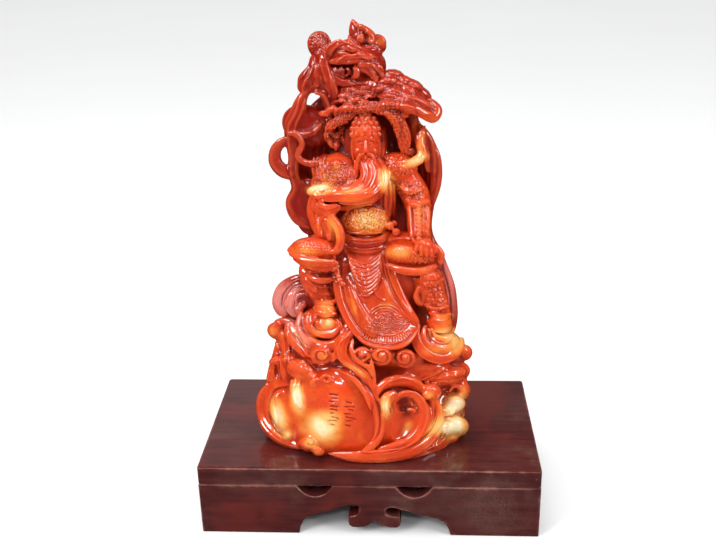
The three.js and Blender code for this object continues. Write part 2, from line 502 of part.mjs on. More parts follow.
function dragon() {
  return [
    ball([-5.5, 214, -1], [13, 11.5, 8], 0, 12, 8),
    ball([-18, 211, 0], [6, 9, 4], 0, 8, 6),
    // the curled lump at the left, a ring about a hollow
    curl([-19, 224, 3], 4, 3.6, 200, 340, [1.5, 1.6, 1.4]),
    ball([-18.5, 223, -1], [5, 5, 4], 0, 8, 6),
    ball([-14, 217, 0], [6, 7, 6], 30, 8, 6),
    // the flame and the curls beside it
    band([[2, 219, 3], [1.5, 223.5, 3], [-0.8, 228, 2.5], [-4.3, 233.6, 2]], [4.6, 4.4, 3.2, 0.7]),
    band([[-4, 219, 5], [-5.5, 224, 5], [-4.5, 229.5, 3.5]], [2.4, 2.2, 1]),
    curl([5.2, 222.3, 4], 3, 1.3, 240, 330, [1.6, 1.6, 1.3]),
    // brow, jaws and nose
    band([[-14.5, 213, 6], [-15, 220, 8], [-10, 223.8, 9], [-3.5, 221.5, 9], [3, 218.5, 8], [8.5, 219.5, 5]],
      [1.4, 2, 2, 1.8, 1.8, 1.2]),
    band([[-13, 217.5, 9], [-7, 218, 11], [0, 215.5, 11], [6, 212.5, 9]], [1.4, 2.2, 2.2, 1.4]),
    ball([1, 212, 9], [5, 4.2, 5], -15, 9, 6),
    ball([5.8, 215, 3], [3.4, 4, 4], 0, 8, 6),
    band([[-14, 214, 7], [-12, 209, 8], [-7, 206.5, 9]], [1.2, 1.6, 1]),
    // the mane that runs down to the left
    band([[-18, 220, 6], [-16.5, 213, 8], [-14.5, 207, 9], [-13, 201, 9]], [1.8, 2.4, 2.4, 1.4]),
    band([[-21, 219, 4], [-21.8, 212, 6], [-26.6, 207, 6], [-28.2, 202, 5]], [1.8, 2.4, 2.8, 1.4]),
    band([[-20.5, 213, 7], [-20, 208, 8], [-23, 204, 7]], [1, 1.7, 1]),
  ];
}

// A true place, across, up and front, as the drawing shows it
function seen([x, z, front]) {
  const t = nearness(front);
  const { eyeAcross, eyeUp } = DRAWING;
  return [eyeAcross + (x - eyeAcross) / t, eyeUp + (z - eyeUp) / t, front];
}

// The places on the back of the rock at [across, height above the ground]
function onRock(places) {
  const heights = ROCK.profile.map(([, up]) => up);
  return places.map(([x, up]) => {
    const i = heights.findIndex((height) => height > up);
    const [[r0, z0], [r1, z1]] = [ROCK.profile[i - 1], ROCK.profile[i]];
    const radius = THREE.MathUtils.mapLinear(up, z0, z1, r0, r1);
    const depth = ROCK.depth * Math.sqrt(Math.max(0, radius ** 2 - (x - ROCK.across) ** 2));
    return seen([x, up + DRAWING.ground, 1 - depth]);
  });
}

// The back is plainer: long folds down the cloak, tufts on the pine, and waves round the rock
function back() {
  // each fold of the cloak: where it runs, how far behind the middle it lies, and its fullness
  const folds = [[-29, 13, 3], [-21, 17, 4], [-12, 20.3, 3], [-3, 22, 4], [7, 21.4, 3], [16, 19, 4],
    [25, 15, 3]];
  const falls = [[0.75, 186, 0.6], [0.95, 168, 0.9], [1, 148, 1.02], [0.92, 130, 1.06], [1.1, 98, 0.9]];
  const tufts = [[4, 204], [14, 203], [22, 199], [-4, 201], [9, 197], [17, 195]];
  const wave = (places, halves) => band(onRock(places), halves, { face: BACK });
  return [
    ...folds.map(([x, depth, full]) => {
      const places = falls.map(([wide, z, deep]) => seen([x * wide, z, -depth * deep]));
      return band(places, [1.5, full, 3.5, full, 2], { face: BACK });
    }),
    ...tufts.map(([x, z], i) => tuft(seen([x, z, -5]), [6, 3.2, 5], 8 * (i % 3) - 8)),
    wave([[-52, 12], [-36, 20], [-18, 18], [0, 26], [8, 36]], [2.5, 4, 4, 3.5, 2]),
    wave([[-50, 4], [-34, 9], [-12, 8], [10, 16], [24, 30]], [2.5, 4.5, 4.5, 4, 2]),
    wave([[-30, 0], [-12, -1], [8, 2], [28, 12], [38, 26]], [2, 4.5, 4.5, 4, 2]),
    wave([[46, 2], [40, 10], [30, 34], [18, 44], [4, 46]], [2.5, 5, 5, 5, 3]),
    wave([[-48, 24], [-38, 38], [-22, 44], [-12, 52]], [3, 5, 5, 3]),
    ...[[-33, 92, -8], [-18, 99, -16], [-1, 94, -20], [16, 100, -16],
      [31, 90, -9]].flatMap(([x, z, f], i) => [
      ball(seen([x, z, f + 3]), [10, 8.5, 9], 0, 9, 6),
      curl(seen([x, z - 1, f - 3]), 6.5, 2, 90 * i, i % 2 ? 400 : -400, [2.2, 2.4, 1.8], { face: BACK }),
    ]),
    band([[-30, 184, -3], [-20, 195, -6], [-6, 200, -7], [10, 200, -6], [21, 191, -4]].map(seen),
      [2.4, 4, 4.5, 4, 2.4],
      { face: BACK }),
    curl(seen([-8, 215, -8]), 7, 2, 90, 400, [2.2, 2.4, 1.8], { face: BACK }),
    band([[2, 222, -4], [5, 214, -5], [2, 206, -6]].map(seen), [2, 3, 2], { face: BACK }),
  ];
}

// A solid without the pockets that are shut in between its carvings
function filled(solid) {
  return wasm.Manifold.union(solid.decompose().filter((shell) => shell.volume() > 0));
}

// A carving whose surfaces nowhere share a corner: where two folds only touch, each is drawn a hair
// into its own side
function parted(geometry) {
  const { position, normal } = geometry.attributes;
  const corners = new Map();
  const keys = [];
  for (let i = 0; i < position.count; i++) {
    keys.push([position.getX(i), position.getY(i),
      position.getZ(i)].map((value) => value.toFixed(3)).join());
    corners.set(keys[i], (corners.get(keys[i]) ?? 0) + 1);
  }
  const corner = new THREE.Vector3();
  const outwards = new THREE.Vector3();
  for (let i = 0; i < position.count; i++) {
    if (corners.get(keys[i]) === 1) continue;
    corner.fromBufferAttribute(position, i);
    corner.addScaledVector(outwards.fromBufferAttribute(normal, i), -TOUCH_GAP);
    position.setXYZ(i, corner.x, corner.y, corner.z);
  }
  return geometry;
}

// Everything above the stand in one piece: joined, drawn with fewer facets, and cut off flat where it
// stands
async function statue() {
  const joined = wasm.Manifold.union([
    rock(), ...boulder(), ...waves(), ...clouds(), ...legs(), ...body(), ...arms(), ...head(), ...beard(),
    ...apron(), ...cloak(), ...scarf(), ...pine(), ...dragon(), ...back(),
  ]);
  const fine = geometryOf(filled(joined));
  fine.deleteAttribute("normal");
  const spare = (fine.index.count / 3 - STATUE_FACETS) / 2;
  const coarse = solidOf(await new SimplifyModifier().modify(fine, spare));
  const carved = solidOf(parted(geometryOf(coarse)));
  const floor = new THREE.BoxGeometry(2 * STATUE_HEIGHT, 2 * STATUE_HEIGHT, STATUE_HEIGHT);
  floor.translate(0, 0, -STATUE_HEIGHT / 2);
  return geometryOf(filled(carved.subtract(solidOf(floor))));
}

// A board of an outline, stood up with its back on the XZ plane and its face towards -Y
function boardGeometry(shape, thickness) {
  const geometry = new THREE.ExtrudeGeometry(shape,
    { depth: thickness, bevelEnabled: false, curveSegments: 4 });
  geometry.rotateX(Math.PI / 2);
  return geometry;
}

// The front board: two feet, a low arch with a cloud pendant in it, and two half moons at the top
function frontOutline() {
  const half = STAND_WIDTH / 2;
  const left = FOOT_LENGTH - half + CUT_SHIFT;
  const right = half - FOOT_LENGTH + CUT_SHIFT;
  // a bend and an end, across in shares of the pendant's half width, up in shares of the arch
  const bend = (acrossBend, upBend, across, up) => shape.quadraticCurveTo(
    CUT_SHIFT + acrossBend * PENDANT_HALF_WIDTH, upBend * ARCH_HEIGHT,
    CUT_SHIFT + across * PENDANT_HALF_WIDTH, up * ARCH_HEIGHT,
  );
  const slot = 1 + SLOT_RISE / ARCH_HEIGHT;
  const shape = new THREE.Shape();
  shape.moveTo(-half, 0);
  shape.lineTo(left, 0);
  shape.quadraticCurveTo(left + ARCH_HEIGHT * 0.1, ARCH_HEIGHT * 0.9, left + ARCH_HEIGHT * 0.6, ARCH_HEIGHT);
  bend(-1.25, slot - 0.2, -1, slot - 0.1);
  bend(-0.5, slot + 0.1, -0.54, slot - 0.4);
  bend(-0.58, 1, -0.92, 1);
  bend(-1.08, 0.3, -0.62, 0.38);
  bend(-0.23, 0.4, 0, 0.8);
  bend(0.23, 0.4, 0.62, 0.38);
  bend(1.08, 0.3, 0.92, 1);
  bend(0.31, 1, 0.38, slot - 0.4);
  bend(0.46, slot, 1, slot - 0.3);
  shape.lineTo(right - ARCH_HEIGHT, ARCH_HEIGHT);
  shape.quadraticCurveTo(right - ARCH_HEIGHT * 0.2, ARCH_HEIGHT, right, 0);
  shape.lineTo(half, 0);
  shape.lineTo(half, BOARD_HEIGHT);
  const moonFoot = BOARD_HEIGHT - MOON_DEPTH;
  const moonBend = MOON_HALF_WIDTH * 0.6;
  for (const middle of [...MOON_PLACES].reverse()) {
    shape.lineTo(middle + MOON_HALF_WIDTH, BOARD_HEIGHT);
    shape.quadraticCurveTo(middle + moonBend, moonFoot, middle, moonFoot);
    shape.quadraticCurveTo(middle - moonBend, moonFoot, middle - MOON_HALF_WIDTH, BOARD_HEIGHT);
  }
  shape.lineTo(-half, BOARD_HEIGHT);
  return shape;
}

// A plain board with two feet and a low arch between them
function archedOutline(length, foot, arch) {
  const half = length / 2;
  const shape = new THREE.Shape();
  shape.moveTo(-half, 0);
  shape.lineTo(foot - half, 0);
  shape.quadraticCurveTo(foot - half + arch * 0.1, arch, foot - half + arch, arch);
  shape.lineTo(half - foot - arch, arch);
  shape.quadraticCurveTo(half - foot - arch * 0.1, arch, half - foot, 0);
  shape.lineTo(half, 0);
  shape.lineTo(half, BOARD_HEIGHT);
  shape.lineTo(-half, BOARD_HEIGHT);
  return shape;
}

function topOutline() {
  const half = STAND_WIDTH / 2;
  const deep = STAND_DEPTH / 2;
  const r = TOP_CORNER_RADIUS;
  const shape = new THREE.Shape();
  shape.moveTo(-half + r, -deep);
  shape.lineTo(half - r, -deep);
  shape.absarc(half - r, -deep + r, r, -Math.PI / 2, 0);
  shape.absarc(half - r, deep - r, r, 0, Math.PI / 2);
  shape.absarc(-half + r, deep - r, r, Math.PI / 2, Math.PI);
  shape.absarc(-half + r, -deep + r, r, Math.PI, 1.5 * Math.PI);
  return shape;
}

function mesh(name, geometry, material) {
  const made = new THREE.Mesh(geometry, material);
  made.name = name;
  return made;
}

function stand() {
  const group = new THREE.Group();
  const top = new THREE.ExtrudeGeometry(topOutline(),
    { depth: TOP_THICKNESS, bevelEnabled: false, curveSegments: 3 });
  const topBoard = mesh("stand_top", top, LACQUER);
  topBoard.position.z = BOARD_HEIGHT;

  const front = mesh("stand_front", boardGeometry(frontOutline(), BOARD_THICKNESS), LACQUER);
  front.position.y = -STAND_DEPTH / 2 + BOARD_THICKNESS;
  const backShape = archedOutline(STAND_WIDTH, FOOT_LENGTH, ARCH_HEIGHT);
  const back = mesh("stand_back", boardGeometry(backShape, BOARD_THICKNESS), LACQUER);
  back.position.y = STAND_DEPTH / 2;
  group.add(topBoard, front, back);

  const sideLength = STAND_DEPTH - 2 * BOARD_THICKNESS;
  for (const [name, side] of [["stand_left", -1], ["stand_right", 1]]) {
    const geometry = boardGeometry(archedOutline(sideLength, SIDE_FOOT_LENGTH, SIDE_ARCH_HEIGHT),
      BOARD_THICKNESS);
    const board = mesh(name, geometry, LACQUER);
    board.rotation.z = Math.PI / 2;
    board.position.x = side > 0 ? STAND_WIDTH / 2 - BOARD_THICKNESS : -STAND_WIDTH / 2;
    group.add(board);
  }
  return group;
}

const carving = mesh("statue", await statue(), STONE);
carving.position.z = STAND_HEIGHT;

const figure = new THREE.Group();
figure.add(stand(), carving);

export default figure;
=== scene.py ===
import contextlib
import math

import bpy
import numpy as np
from mathutils import Matrix, Vector


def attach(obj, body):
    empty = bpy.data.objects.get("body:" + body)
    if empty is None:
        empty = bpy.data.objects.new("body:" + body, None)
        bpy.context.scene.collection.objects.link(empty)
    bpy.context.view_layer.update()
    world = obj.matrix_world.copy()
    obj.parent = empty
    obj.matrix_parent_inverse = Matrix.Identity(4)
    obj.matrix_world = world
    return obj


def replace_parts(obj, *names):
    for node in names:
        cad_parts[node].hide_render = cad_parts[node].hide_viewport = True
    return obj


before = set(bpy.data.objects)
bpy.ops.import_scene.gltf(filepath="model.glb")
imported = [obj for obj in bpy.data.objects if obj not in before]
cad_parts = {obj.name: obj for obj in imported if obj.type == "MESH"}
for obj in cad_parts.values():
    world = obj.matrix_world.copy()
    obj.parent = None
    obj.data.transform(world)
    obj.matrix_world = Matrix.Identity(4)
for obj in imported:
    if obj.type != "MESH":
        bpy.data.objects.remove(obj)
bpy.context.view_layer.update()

# The carving is shaped in millimetres on a drawing, as a relief on a board: across, up the sheet, and
# forward out of it. The drawing is seen from an eye in front of the statue and above it.
EYE = (21.0, 283.5, 404.0)
GROUND = 36.0
METRES = 0.001


def from_drawing(points):
    near = (EYE[2] - points[:, 2]) / EYE[2]
    across = EYE[0] + (points[:, 0] - EYE[0]) * near
    up = EYE[1] + (points[:, 1] - EYE[1]) * near
    return np.column_stack([across, -points[:, 2], up])


def to_drawing(points):
    near = (EYE[2] + points[:, 1]) / EYE[2]
    across = EYE[0] + (points[:, 0] - EYE[0]) / near
    up = EYE[1] + (points[:, 2] - EYE[1]) / near
    return np.column_stack([across, up, -points[:, 1]])


def seen(places):
    """Places given as across, height and front, as the drawing shows them."""
    p = np.array(places, float)
    return to_drawing(np.column_stack([p[:, 0], -p[:, 2], p[:, 1]]))


# Work on the bench
def pick(*things):
    bpy.ops.object.select_all(action="DESELECT")
    for thing in things:
        thing.select_set(True)
    bpy.context.view_layer.objects.active = things[0]


@contextlib.contextmanager
def editing(thing):
    """Opens a piece for work on its mesh, with all of it picked."""
    pick(thing)
    bpy.ops.object.mode_set(mode="EDIT")
    bpy.ops.mesh.select_all(action="SELECT")
    yield
    bpy.ops.object.mode_set(mode="OBJECT")


def put_in_scene(thing):
    bpy.context.collection.objects.link(thing)
    return thing


def twin_of(thing):
    twin = thing.copy()
    twin.data = thing.data.copy()
    return put_in_scene(twin)


def read(thing, what):
    flat = np.empty(len(thing.data.vertices) * 3, np.float32)
    thing.data.vertices.foreach_get(what, flat)
    return flat.reshape(-1, 3).astype(float)


def corners(thing):
    return read(thing, "co")


def normals(thing):
    return read(thing, "normal")


def put_corners(thing, points):
    thing.data.vertices.foreach_set("co", points.astype(np.float32).ravel())
    thing.data.update()


def apply(thing, kind, **settings):
    pick(thing)
    modifier = thing.modifiers.new(kind.title(), kind)
    for key, value in settings.items():
        setattr(modifier, key, value)
    bpy.ops.object.modifier_apply(modifier=modifier.name)


def ramp(value, start, length):
    """Rises from 0 at start to 1 after some length."""
    return np.clip((value - start) / length, 0, 1)


def curve_through(places, share):
    """Points along a smooth line through places, at shares of the way from 0 to 1."""
    p = np.array(places, float)
    p = np.vstack([2 * p[0] - p[1], p, 2 * p[-1] - p[-2]])
    step = share * (len(places) - 1)
    i = np.minimum(step.astype(int), len(places) - 2)
    w = (step - i)[:, None]
    a, b, c, d = p[i], p[i + 1], p[i + 2], p[i + 3]
    ab, bc, cd = (np.maximum(np.linalg.norm(q - r, axis=1), 1e-3)[:, None] ** 0.5
                  for q, r in ((b, a), (c, b), (d, c)))
    leave = ((b - a) / ab - (c - a) / (ab + bc) + (c - b) / bc) * bc
    arrive = ((c - b) / bc - (d - b) / (bc + cd) + (d - c) / cd) * bc
    return b + leave * w + (3 * (c - b) - 2 * leave - arrive) * w**2 + (2 * (b - c) + leave + arrive) * w**3


def along(stations, share):
    """A measure given at even stations, eased between them."""
    if isinstance(stations, (int, float)):
        return np.full(len(share), float(stations))
    fine = np.linspace(0, 1, 65)
    values = np.interp(fine, np.linspace(0, 1, len(stations)), stations)
    for _ in range(6):
        values[1:-1] = (values[:-2] + 2 * values[1:-1] + values[2:]) / 4
    return np.interp(share, fine, values)


# Forms. Each is added to the heap that the next piece is carved from.
heap = []
sweeps = {}
BLUNT = 0.1  # share of a band's length in which each end is rounded


def egg(at, half, turn=0, around=28, rings=18):
    bpy.ops.mesh.primitive_uv_sphere_add(segments=around, ring_count=rings, radius=1, location=at,
                                         rotation=(0, 0, math.radians(turn)), scale=half)
    heap.append(bpy.context.object)


def band(places, halves, thin=1, flutes=0, deep=0.14, press=0.3, back=False):
    """A lock, fold or crest: a round or fluted section drawn along a smooth line."""
    share = (1 - np.cos(np.linspace(0, math.pi, 9 * len(places)))) / 2
    middle = curve_through(places, share)
    end = np.minimum(np.minimum(share, 1 - share) / BLUNT, 1)
    half = np.sqrt(1 - (1 - end) ** 2) * along(halves, share)
    middle[:, 2] += half * (press if back else -press)
    sweeps.setdefault((thin, flutes, deep), []).append(np.column_stack([middle, np.maximum(half, 0.01)]))


def curl(at, outer, inner, start, sweep, halves, **options):
    """A band that winds in from an outer to an inner radius."""
    count = max(5, round(abs(sweep) / 40))
    places = []
    for i in range(count + 1):
        angle = math.radians(start + sweep * i / count)
        radius = outer + (inner - outer) * i / count
        places.append([at[0] + radius * math.cos(angle), at[1] + radius * math.sin(angle), at[2]])
    band(places, halves, **options)


def section(thin, flutes, deep):
    """The outline that a band is drawn with, as a closed curve."""
    count = max(14, flutes * 6)
    turn = np.arange(count) * 2 * math.pi / count
    radius = 1 + deep * (np.abs(np.sin(flutes * turn / 2)) - 1) if flutes else np.ones(count)
    outline = bpy.data.curves.new("section", "CURVE")
    outline.dimensions = "2D"
    line = outline.splines.new("POLY")
    line.points.add(count - 1)
    for point, angle, r in zip(line.points, turn, radius):
        point.co = (r * math.cos(angle), r * thin * math.sin(angle), 0, 1)
    line.use_cyclic_u = True
    return put_in_scene(bpy.data.objects.new("section", outline))


def draw_sweeps():
    for key, paths in sweeps.items():
        outline = section(*key)
        route = bpy.data.curves.new("route", "CURVE")
        route.dimensions = "3D"
        route.twist_mode = "Z_UP"
        route.bevel_mode = "OBJECT"
        route.bevel_object = outline
        route.use_fill_caps = True
        for path in paths:
            line = route.splines.new("POLY")
            line.points.add(len(path) - 1)
            line.points.foreach_set("co", np.column_stack([path[:, :3], np.ones(len(path))]).ravel())
            line.points.foreach_set("radius", path[:, 3])
        pick(put_in_scene(bpy.data.objects.new("route", route)))
        bpy.ops.object.convert(target="MESH")
        heap.append(bpy.context.object)
        bpy.data.objects.remove(outline)
    sweeps.clear()


def sheet(rows, backs, edge, across=40, down=48):
    """A thick cloth through rows of places, drawn back behind by a bulge that thins to its sides."""
    bpy.ops.mesh.primitive_grid_add(x_subdivisions=across, y_subdivisions=down, size=1)
    thing = bpy.context.object
    with editing(thing):
        bpy.ops.mesh.extrude_region_move(TRANSFORM_OT_translate={"value": (0, 0, -1)})
    flat = corners(thing)
    s = np.clip(flat[:, 0] + 0.5, 0, 1)
    t = np.clip(0.5 - flat[:, 1], 0, 1)
    lines = np.array([curve_through(row, s) for row in rows])
    lines = np.concatenate([2 * lines[:1] - lines[1:2], lines, 2 * lines[-1:] - lines[-2:-1]])
    step = t * (len(rows) - 1)
    i = np.minimum(step.astype(int), len(rows) - 2)
    w = (step - i)[:, None]
    k = np.arange(len(s))
    a, b, c, d = lines[i, k], lines[i + 1, k], lines[i + 2, k], lines[i + 3, k]
    shaped = b + 0.5 * w * (c - a + w * (2 * a - 5 * b + 4 * c - d + w * (3 * (b - c) + d - a)))
    bulge = edge + (np.interp(t, np.linspace(0, 1, len(backs)), backs) - edge) * np.sin(math.pi * s)
    shaped[:, 2] -= np.where(flat[:, 2] < -0.5, bulge, 0)
    put_corners(thing, shaped)
    heap.append(thing)


def copies(model, places):
    """Copies of a small form, each with its own mesh: across, up, front, size and turn."""
    for x, u, f, size, turn in places:
        thing = twin_of(model)
        thing.location = (x, u, f)
        thing.scale = (size, size, size)
        thing.rotation_euler = (0, 0, math.radians(turn))
        heap.append(thing)
    bpy.data.objects.remove(model)


def front_of(at, half, x, u, lift=0.0):
    """How far forward the front of an egg lies at a place on the drawing."""
    q = 1 - ((x - at[0]) / half[0]) ** 2 - ((u - at[1]) / half[1]) ** 2
    return at[2] + half[2] * math.sqrt(max(q, 0.02)) + lift


# Carving
CLEFT = 0.25  # a corner that lies this deep below the smooth skin is filled in full


def gather():
    """All forms of the heap in one mesh, in its true place."""
    draw_sweeps()
    pick(*heap)
    bpy.ops.object.join()
    thing = bpy.context.object
    bpy.ops.object.transform_apply(location=True, rotation=True, scale=True)
    put_corners(thing, from_drawing(corners(thing)))
    heap.clear()
    return thing


def smoothed(thing, rounds):
    """Where the corners would lie if the piece were rubbed down for some rounds."""
    twin = twin_of(thing)
    apply(twin, "SMOOTH", factor=1.0, iterations=rounds)
    places = corners(twin)
    bpy.data.meshes.remove(twin.data)
    return places


def melt(thing, grain, rounds, fill):
    """Joins overlapping forms into one skin, and fills the clefts between them to a soft valley."""
    apply(thing, "REMESH", mode="VOXEL", voxel_size=grain * 1)
    for reach, share in fill:
        p = corners(thing)
        lift = smoothed(thing, reach) - p
        put_corners(thing, p + lift * ramp((lift * normals(thing)).sum(1), 0, CLEFT)[:, None] * share)
    apply(thing, "SMOOTH", factor=0.5, iterations=rounds)


def cut_off(thing, at, away):
    """Cuts off what lies beyond a place, and closes the piece there."""
    with editing(thing):
        bpy.ops.mesh.bisect(plane_co=at, plane_no=away, use_fill=True, clear_outer=True)


def turned(x, u, turn):
    """Places measured along and across a line that is turned by some degrees."""
    c, s = math.cos(math.radians(turn)), math.sin(math.radians(turn))
    return x * c + u * s, u * c - x * s


def inside(x, u, at, half, turn=0, soft=0.15):
    """1 inside an ellipse on the drawing and 0 outside, with a soft edge."""
    across, up = turned(x - at[0], u - at[1], turn)
    return ramp(1 - np.hypot(across / half[0], up / half[1]), 0, soft)


# The rock, its boulder, waves and clouds
# its profile, as radius and height above the ground
ROCK = [(45, -6), (47, 0), (50, 8), (49, 20), (44, 34), (38, 48), (31, 60), (25, 74), (19, 88), (12, 100), (2, 104)]
ROCK_DEPTH = 0.68
ROCK_ACROSS = -4


def rock():
    profile = curve_through([(r, 0, z) for r, z in ROCK], np.linspace(0, 1, 50))
    profile = np.vstack([[0, 0, -6], profile, [0, 0, 104]])
    mesh = bpy.data.meshes.new("rock")
    mesh.from_pydata([tuple(p) for p in profile], [(i, i + 1) for i in range(len(profile) - 1)], [])
    thing = put_in_scene(bpy.data.objects.new("rock", mesh))
    with editing(thing):
        bpy.ops.mesh.spin(steps=80, angle=2 * math.pi, center=(0, 0, 0), axis=(0, 0, 1))
        bpy.ops.mesh.select_all(action="SELECT")
        bpy.ops.mesh.remove_doubles(threshold=0.01)
        bpy.ops.mesh.normals_make_consistent(inside=False)
        bpy.ops.transform.resize(value=(1, ROCK_DEPTH, 1))
    put_corners(thing, to_drawing(corners(thing) + (ROCK_ACROSS, 0, GROUND)))
    heap.append(thing)


def on_rock(places):
    """Places on the back of the rock at across and height above the ground."""
    found = []
    for x, z in places:
        radius = np.interp(z, [up for _, up in ROCK], [r for r, _ in ROCK])
        depth = ROCK_DEPTH * math.sqrt(max(0, radius**2 - (x - ROCK_ACROSS) ** 2))
        found.append((x, z + GROUND, -0.6 - depth))
    return seen(found)


BOULDER = ([-16, 40, 22], [22, 28, 15])


def boulder():
    egg(*BOULDER, 12, 64, 40)
    band([[-22, 68, 24], [-9, 64, 30], [0, 52, 35], [4, 39, 36], [3, 26, 37], [-6, 16, 37]], [1.5, 3, 3, 3, 2.5, 1.5],
         thin=0.8)
    band([[-19, 66, 28], [-10, 61.5, 33], [-3.5, 53, 36.5], [0, 42, 38]], [0.8, 1.6, 1.5, 0.6])


def waves():
    # a broad smooth swell to the right of the boulder, with a rim that curls round its hollow
    egg([13, 33, 19], [24, 20, 15.5], 8, 48, 32)
    band([[11.4, 43, 34.6], [12.4, 48.6, 34.4], [17, 51.8, 33.4], [22, 50.6, 32.6], [25.8, 44, 32], [25.4, 36, 32.4],
          [21, 28, 34.2], [13, 22.4, 35.8], [3, 20, 36.8]], [0.7, 1.5, 1.9, 2.1, 2.3, 2.6, 2.6, 2.4, 1.2], thin=0.7)
    band([[28, 54, 26], [32.4, 46, 27], [33.2, 37, 28.4], [29.6, 28, 31], [21, 20.6, 34.4], [8, 16.4, 36.8],
          [-8, 15.4, 37], [-23, 16.6, 34.6]], [1.2, 2.6, 3.4, 3.8, 4, 3.6, 3, 1.4], thin=0.6)
    band([[41, 30, 17], [36.4, 23.4, 23], [26, 17.6, 30], [12, 13.8, 34.8], [-4, 12.4, 36.4]],
         [1.4, 2.6, 3.2, 2.8, 1.4], thin=0.6)
    # the breaker over it, its tongue of foam and the ball of foam inside
    band([[2.4, 49.5, 35.4], [4, 54.6, 34.8], [9, 58.4, 33.4], [16, 59.6, 31.2], [23, 57.2, 28.6], [27.4, 52.6, 27]],
         [1.2, 2.4, 3.2, 3.4, 3, 1.6], thin=0.75)
    band([[13, 53, 34.4], [8.6, 50.4, 36.6], [6.8, 45, 37.6], [8.4, 38.6, 37.2]], [1.6, 2.8, 3.1, 1], thin=0.85)
    egg([20, 41.5, 32.6], [2.8, 2.6, 2.8])
    # the rocks and foam down the right edge
    egg([30, 53.4, 25.6], [5.2, 4.6, 5.6], -20)
    egg([28.2, 51.4, 29], [2.8, 2.3, 2.6])
    egg([36, 61.6, 15.6], [12, 5.4, 9.4], 18, 40, 26)
    band([[26, 58.4, 25], [33, 62.6, 23.6], [40, 66.4, 17.6], [45.4, 67.6, 11]], [0.8, 1.6, 1.7, 1], thin=0.85)
    egg([44, 65, 8], [5, 5, 5], 10)
    egg([45, 55.4, 8.6], [4.2, 6.6, 6.4], 12, 32, 22)
    band([[39, 57, 17], [42.6, 60.8, 14.4], [46.4, 59, 12], [47.6, 53, 11]], [0.7, 1.2, 1.3, 0.7])
    band([[38.6, 53, 18], [41.6, 56.6, 16], [44.6, 54.6, 14.6], [45, 50.6, 13.6]], [0.7, 1.2, 1.2, 0.7])
    egg([41, 46.6, 15.4], [6.2, 5.4, 7.2], 0, 40, 26)
    egg([36.6, 41.4, 20.4], [3.9, 3.8, 4.2])
    egg([42, 33.4, 16], [7.2, 6.6, 8.2], -10, 40, 26)
    egg([36.4, 32, 22.8], [4.2, 5, 4.6], 30)
    egg([39, 26, 18], [5, 3.6, 5], 20)
    curl([39.4, 43, 21.4], 3, 1, 120, -330, [0.8, 1.2, 0.8])
    for i in range(4):
        band([[26 + 2.6 * i, 18.6 + 0.7 * i, 32.8 - 2.2 * i], [32.6 + 1.9 * i, 23 + 0.4 * i, 28 - 2 * i],
              [37 + 1.4 * i, 29.4 - 0.8 * i, 23 - 1.8 * i]], [0.5, 1.2, 0.6])
    # the breaker on the left, open to the right, with a tongue of foam in it
    band([[-38, 58.5, 17], [-46, 57.8, 13], [-53, 51.5, 11.5], [-55, 42, 12.5], [-52.5, 31, 18], [-45, 23.5, 24],
          [-35, 19.5, 29.5]], [1.5, 2.8, 3.2, 3.2, 3.2, 3, 2], thin=0.8)
    band([[-42, 53, 19], [-46.4, 49.4, 19.8], [-47, 41, 22], [-45, 33.6, 24.4], [-41, 30, 26]], [1.4, 3, 4.6, 3.8, 1.6],
         thin=0.8)
    egg([-44, 40, 12], [9, 17, 9], 5)
    egg([-42.6, 26.4, 24.6], [2.7, 2.5, 3.4])
    egg([-32.6, 21.8, 30], [5.4, 4.6, 6.2], -15)
    egg([-27.4, 17.4, 33.4], [3.2, 2.8, 4])
    curl([-31.6, 22.6, 35], 3.4, 0.9, 200, -380, [0.8, 1.1, 0.7])
    curl([-27.4, 17.8, 36.6], 1.9, 0.7, 160, -340, [0.5, 0.7, 0.5])
    # the water that runs down between the rocks on the left
    egg([-34, 64.5, 22.5], [8, 6, 8], -30)
    egg([-28.5, 61, 27], [3.6, 3.4, 4])
    egg([-39, 70, 16], [5, 4, 5])
    band([[-40, 68.6, 21], [-35.6, 70, 24.6], [-31, 66.4, 27.4], [-28, 61.4, 29.4]], [0.8, 1.4, 1.5, 1], thin=0.8)
    band([[-39, 63.6, 25], [-35, 65.4, 28], [-32.6, 62.4, 29]], [0.7, 1.2, 0.7])
    for x, top, foot, wide in ((-39.4, 60, 45, 1.1), (-37.4, 61.6, 42, 1.25), (-35.3, 61.6, 41, 1.25),
                               (-33.4, 60, 43.6, 1)):
        band([[x + 0.3, top, 26.4], [x - 0.2, (top + foot) / 2 + 2, 29.4], [x + 1.2, foot, 30.6]],
             [0.7, wide, wide * 0.5])
    curl([-27, 57, 32.6], 4.2, 1.1, 230, 400, [1.2, 1.5, 1.1])
    curl([-21.8, 59.6, 34], 2.9, 0.9, 200, -400, [0.9, 1.1, 0.8])


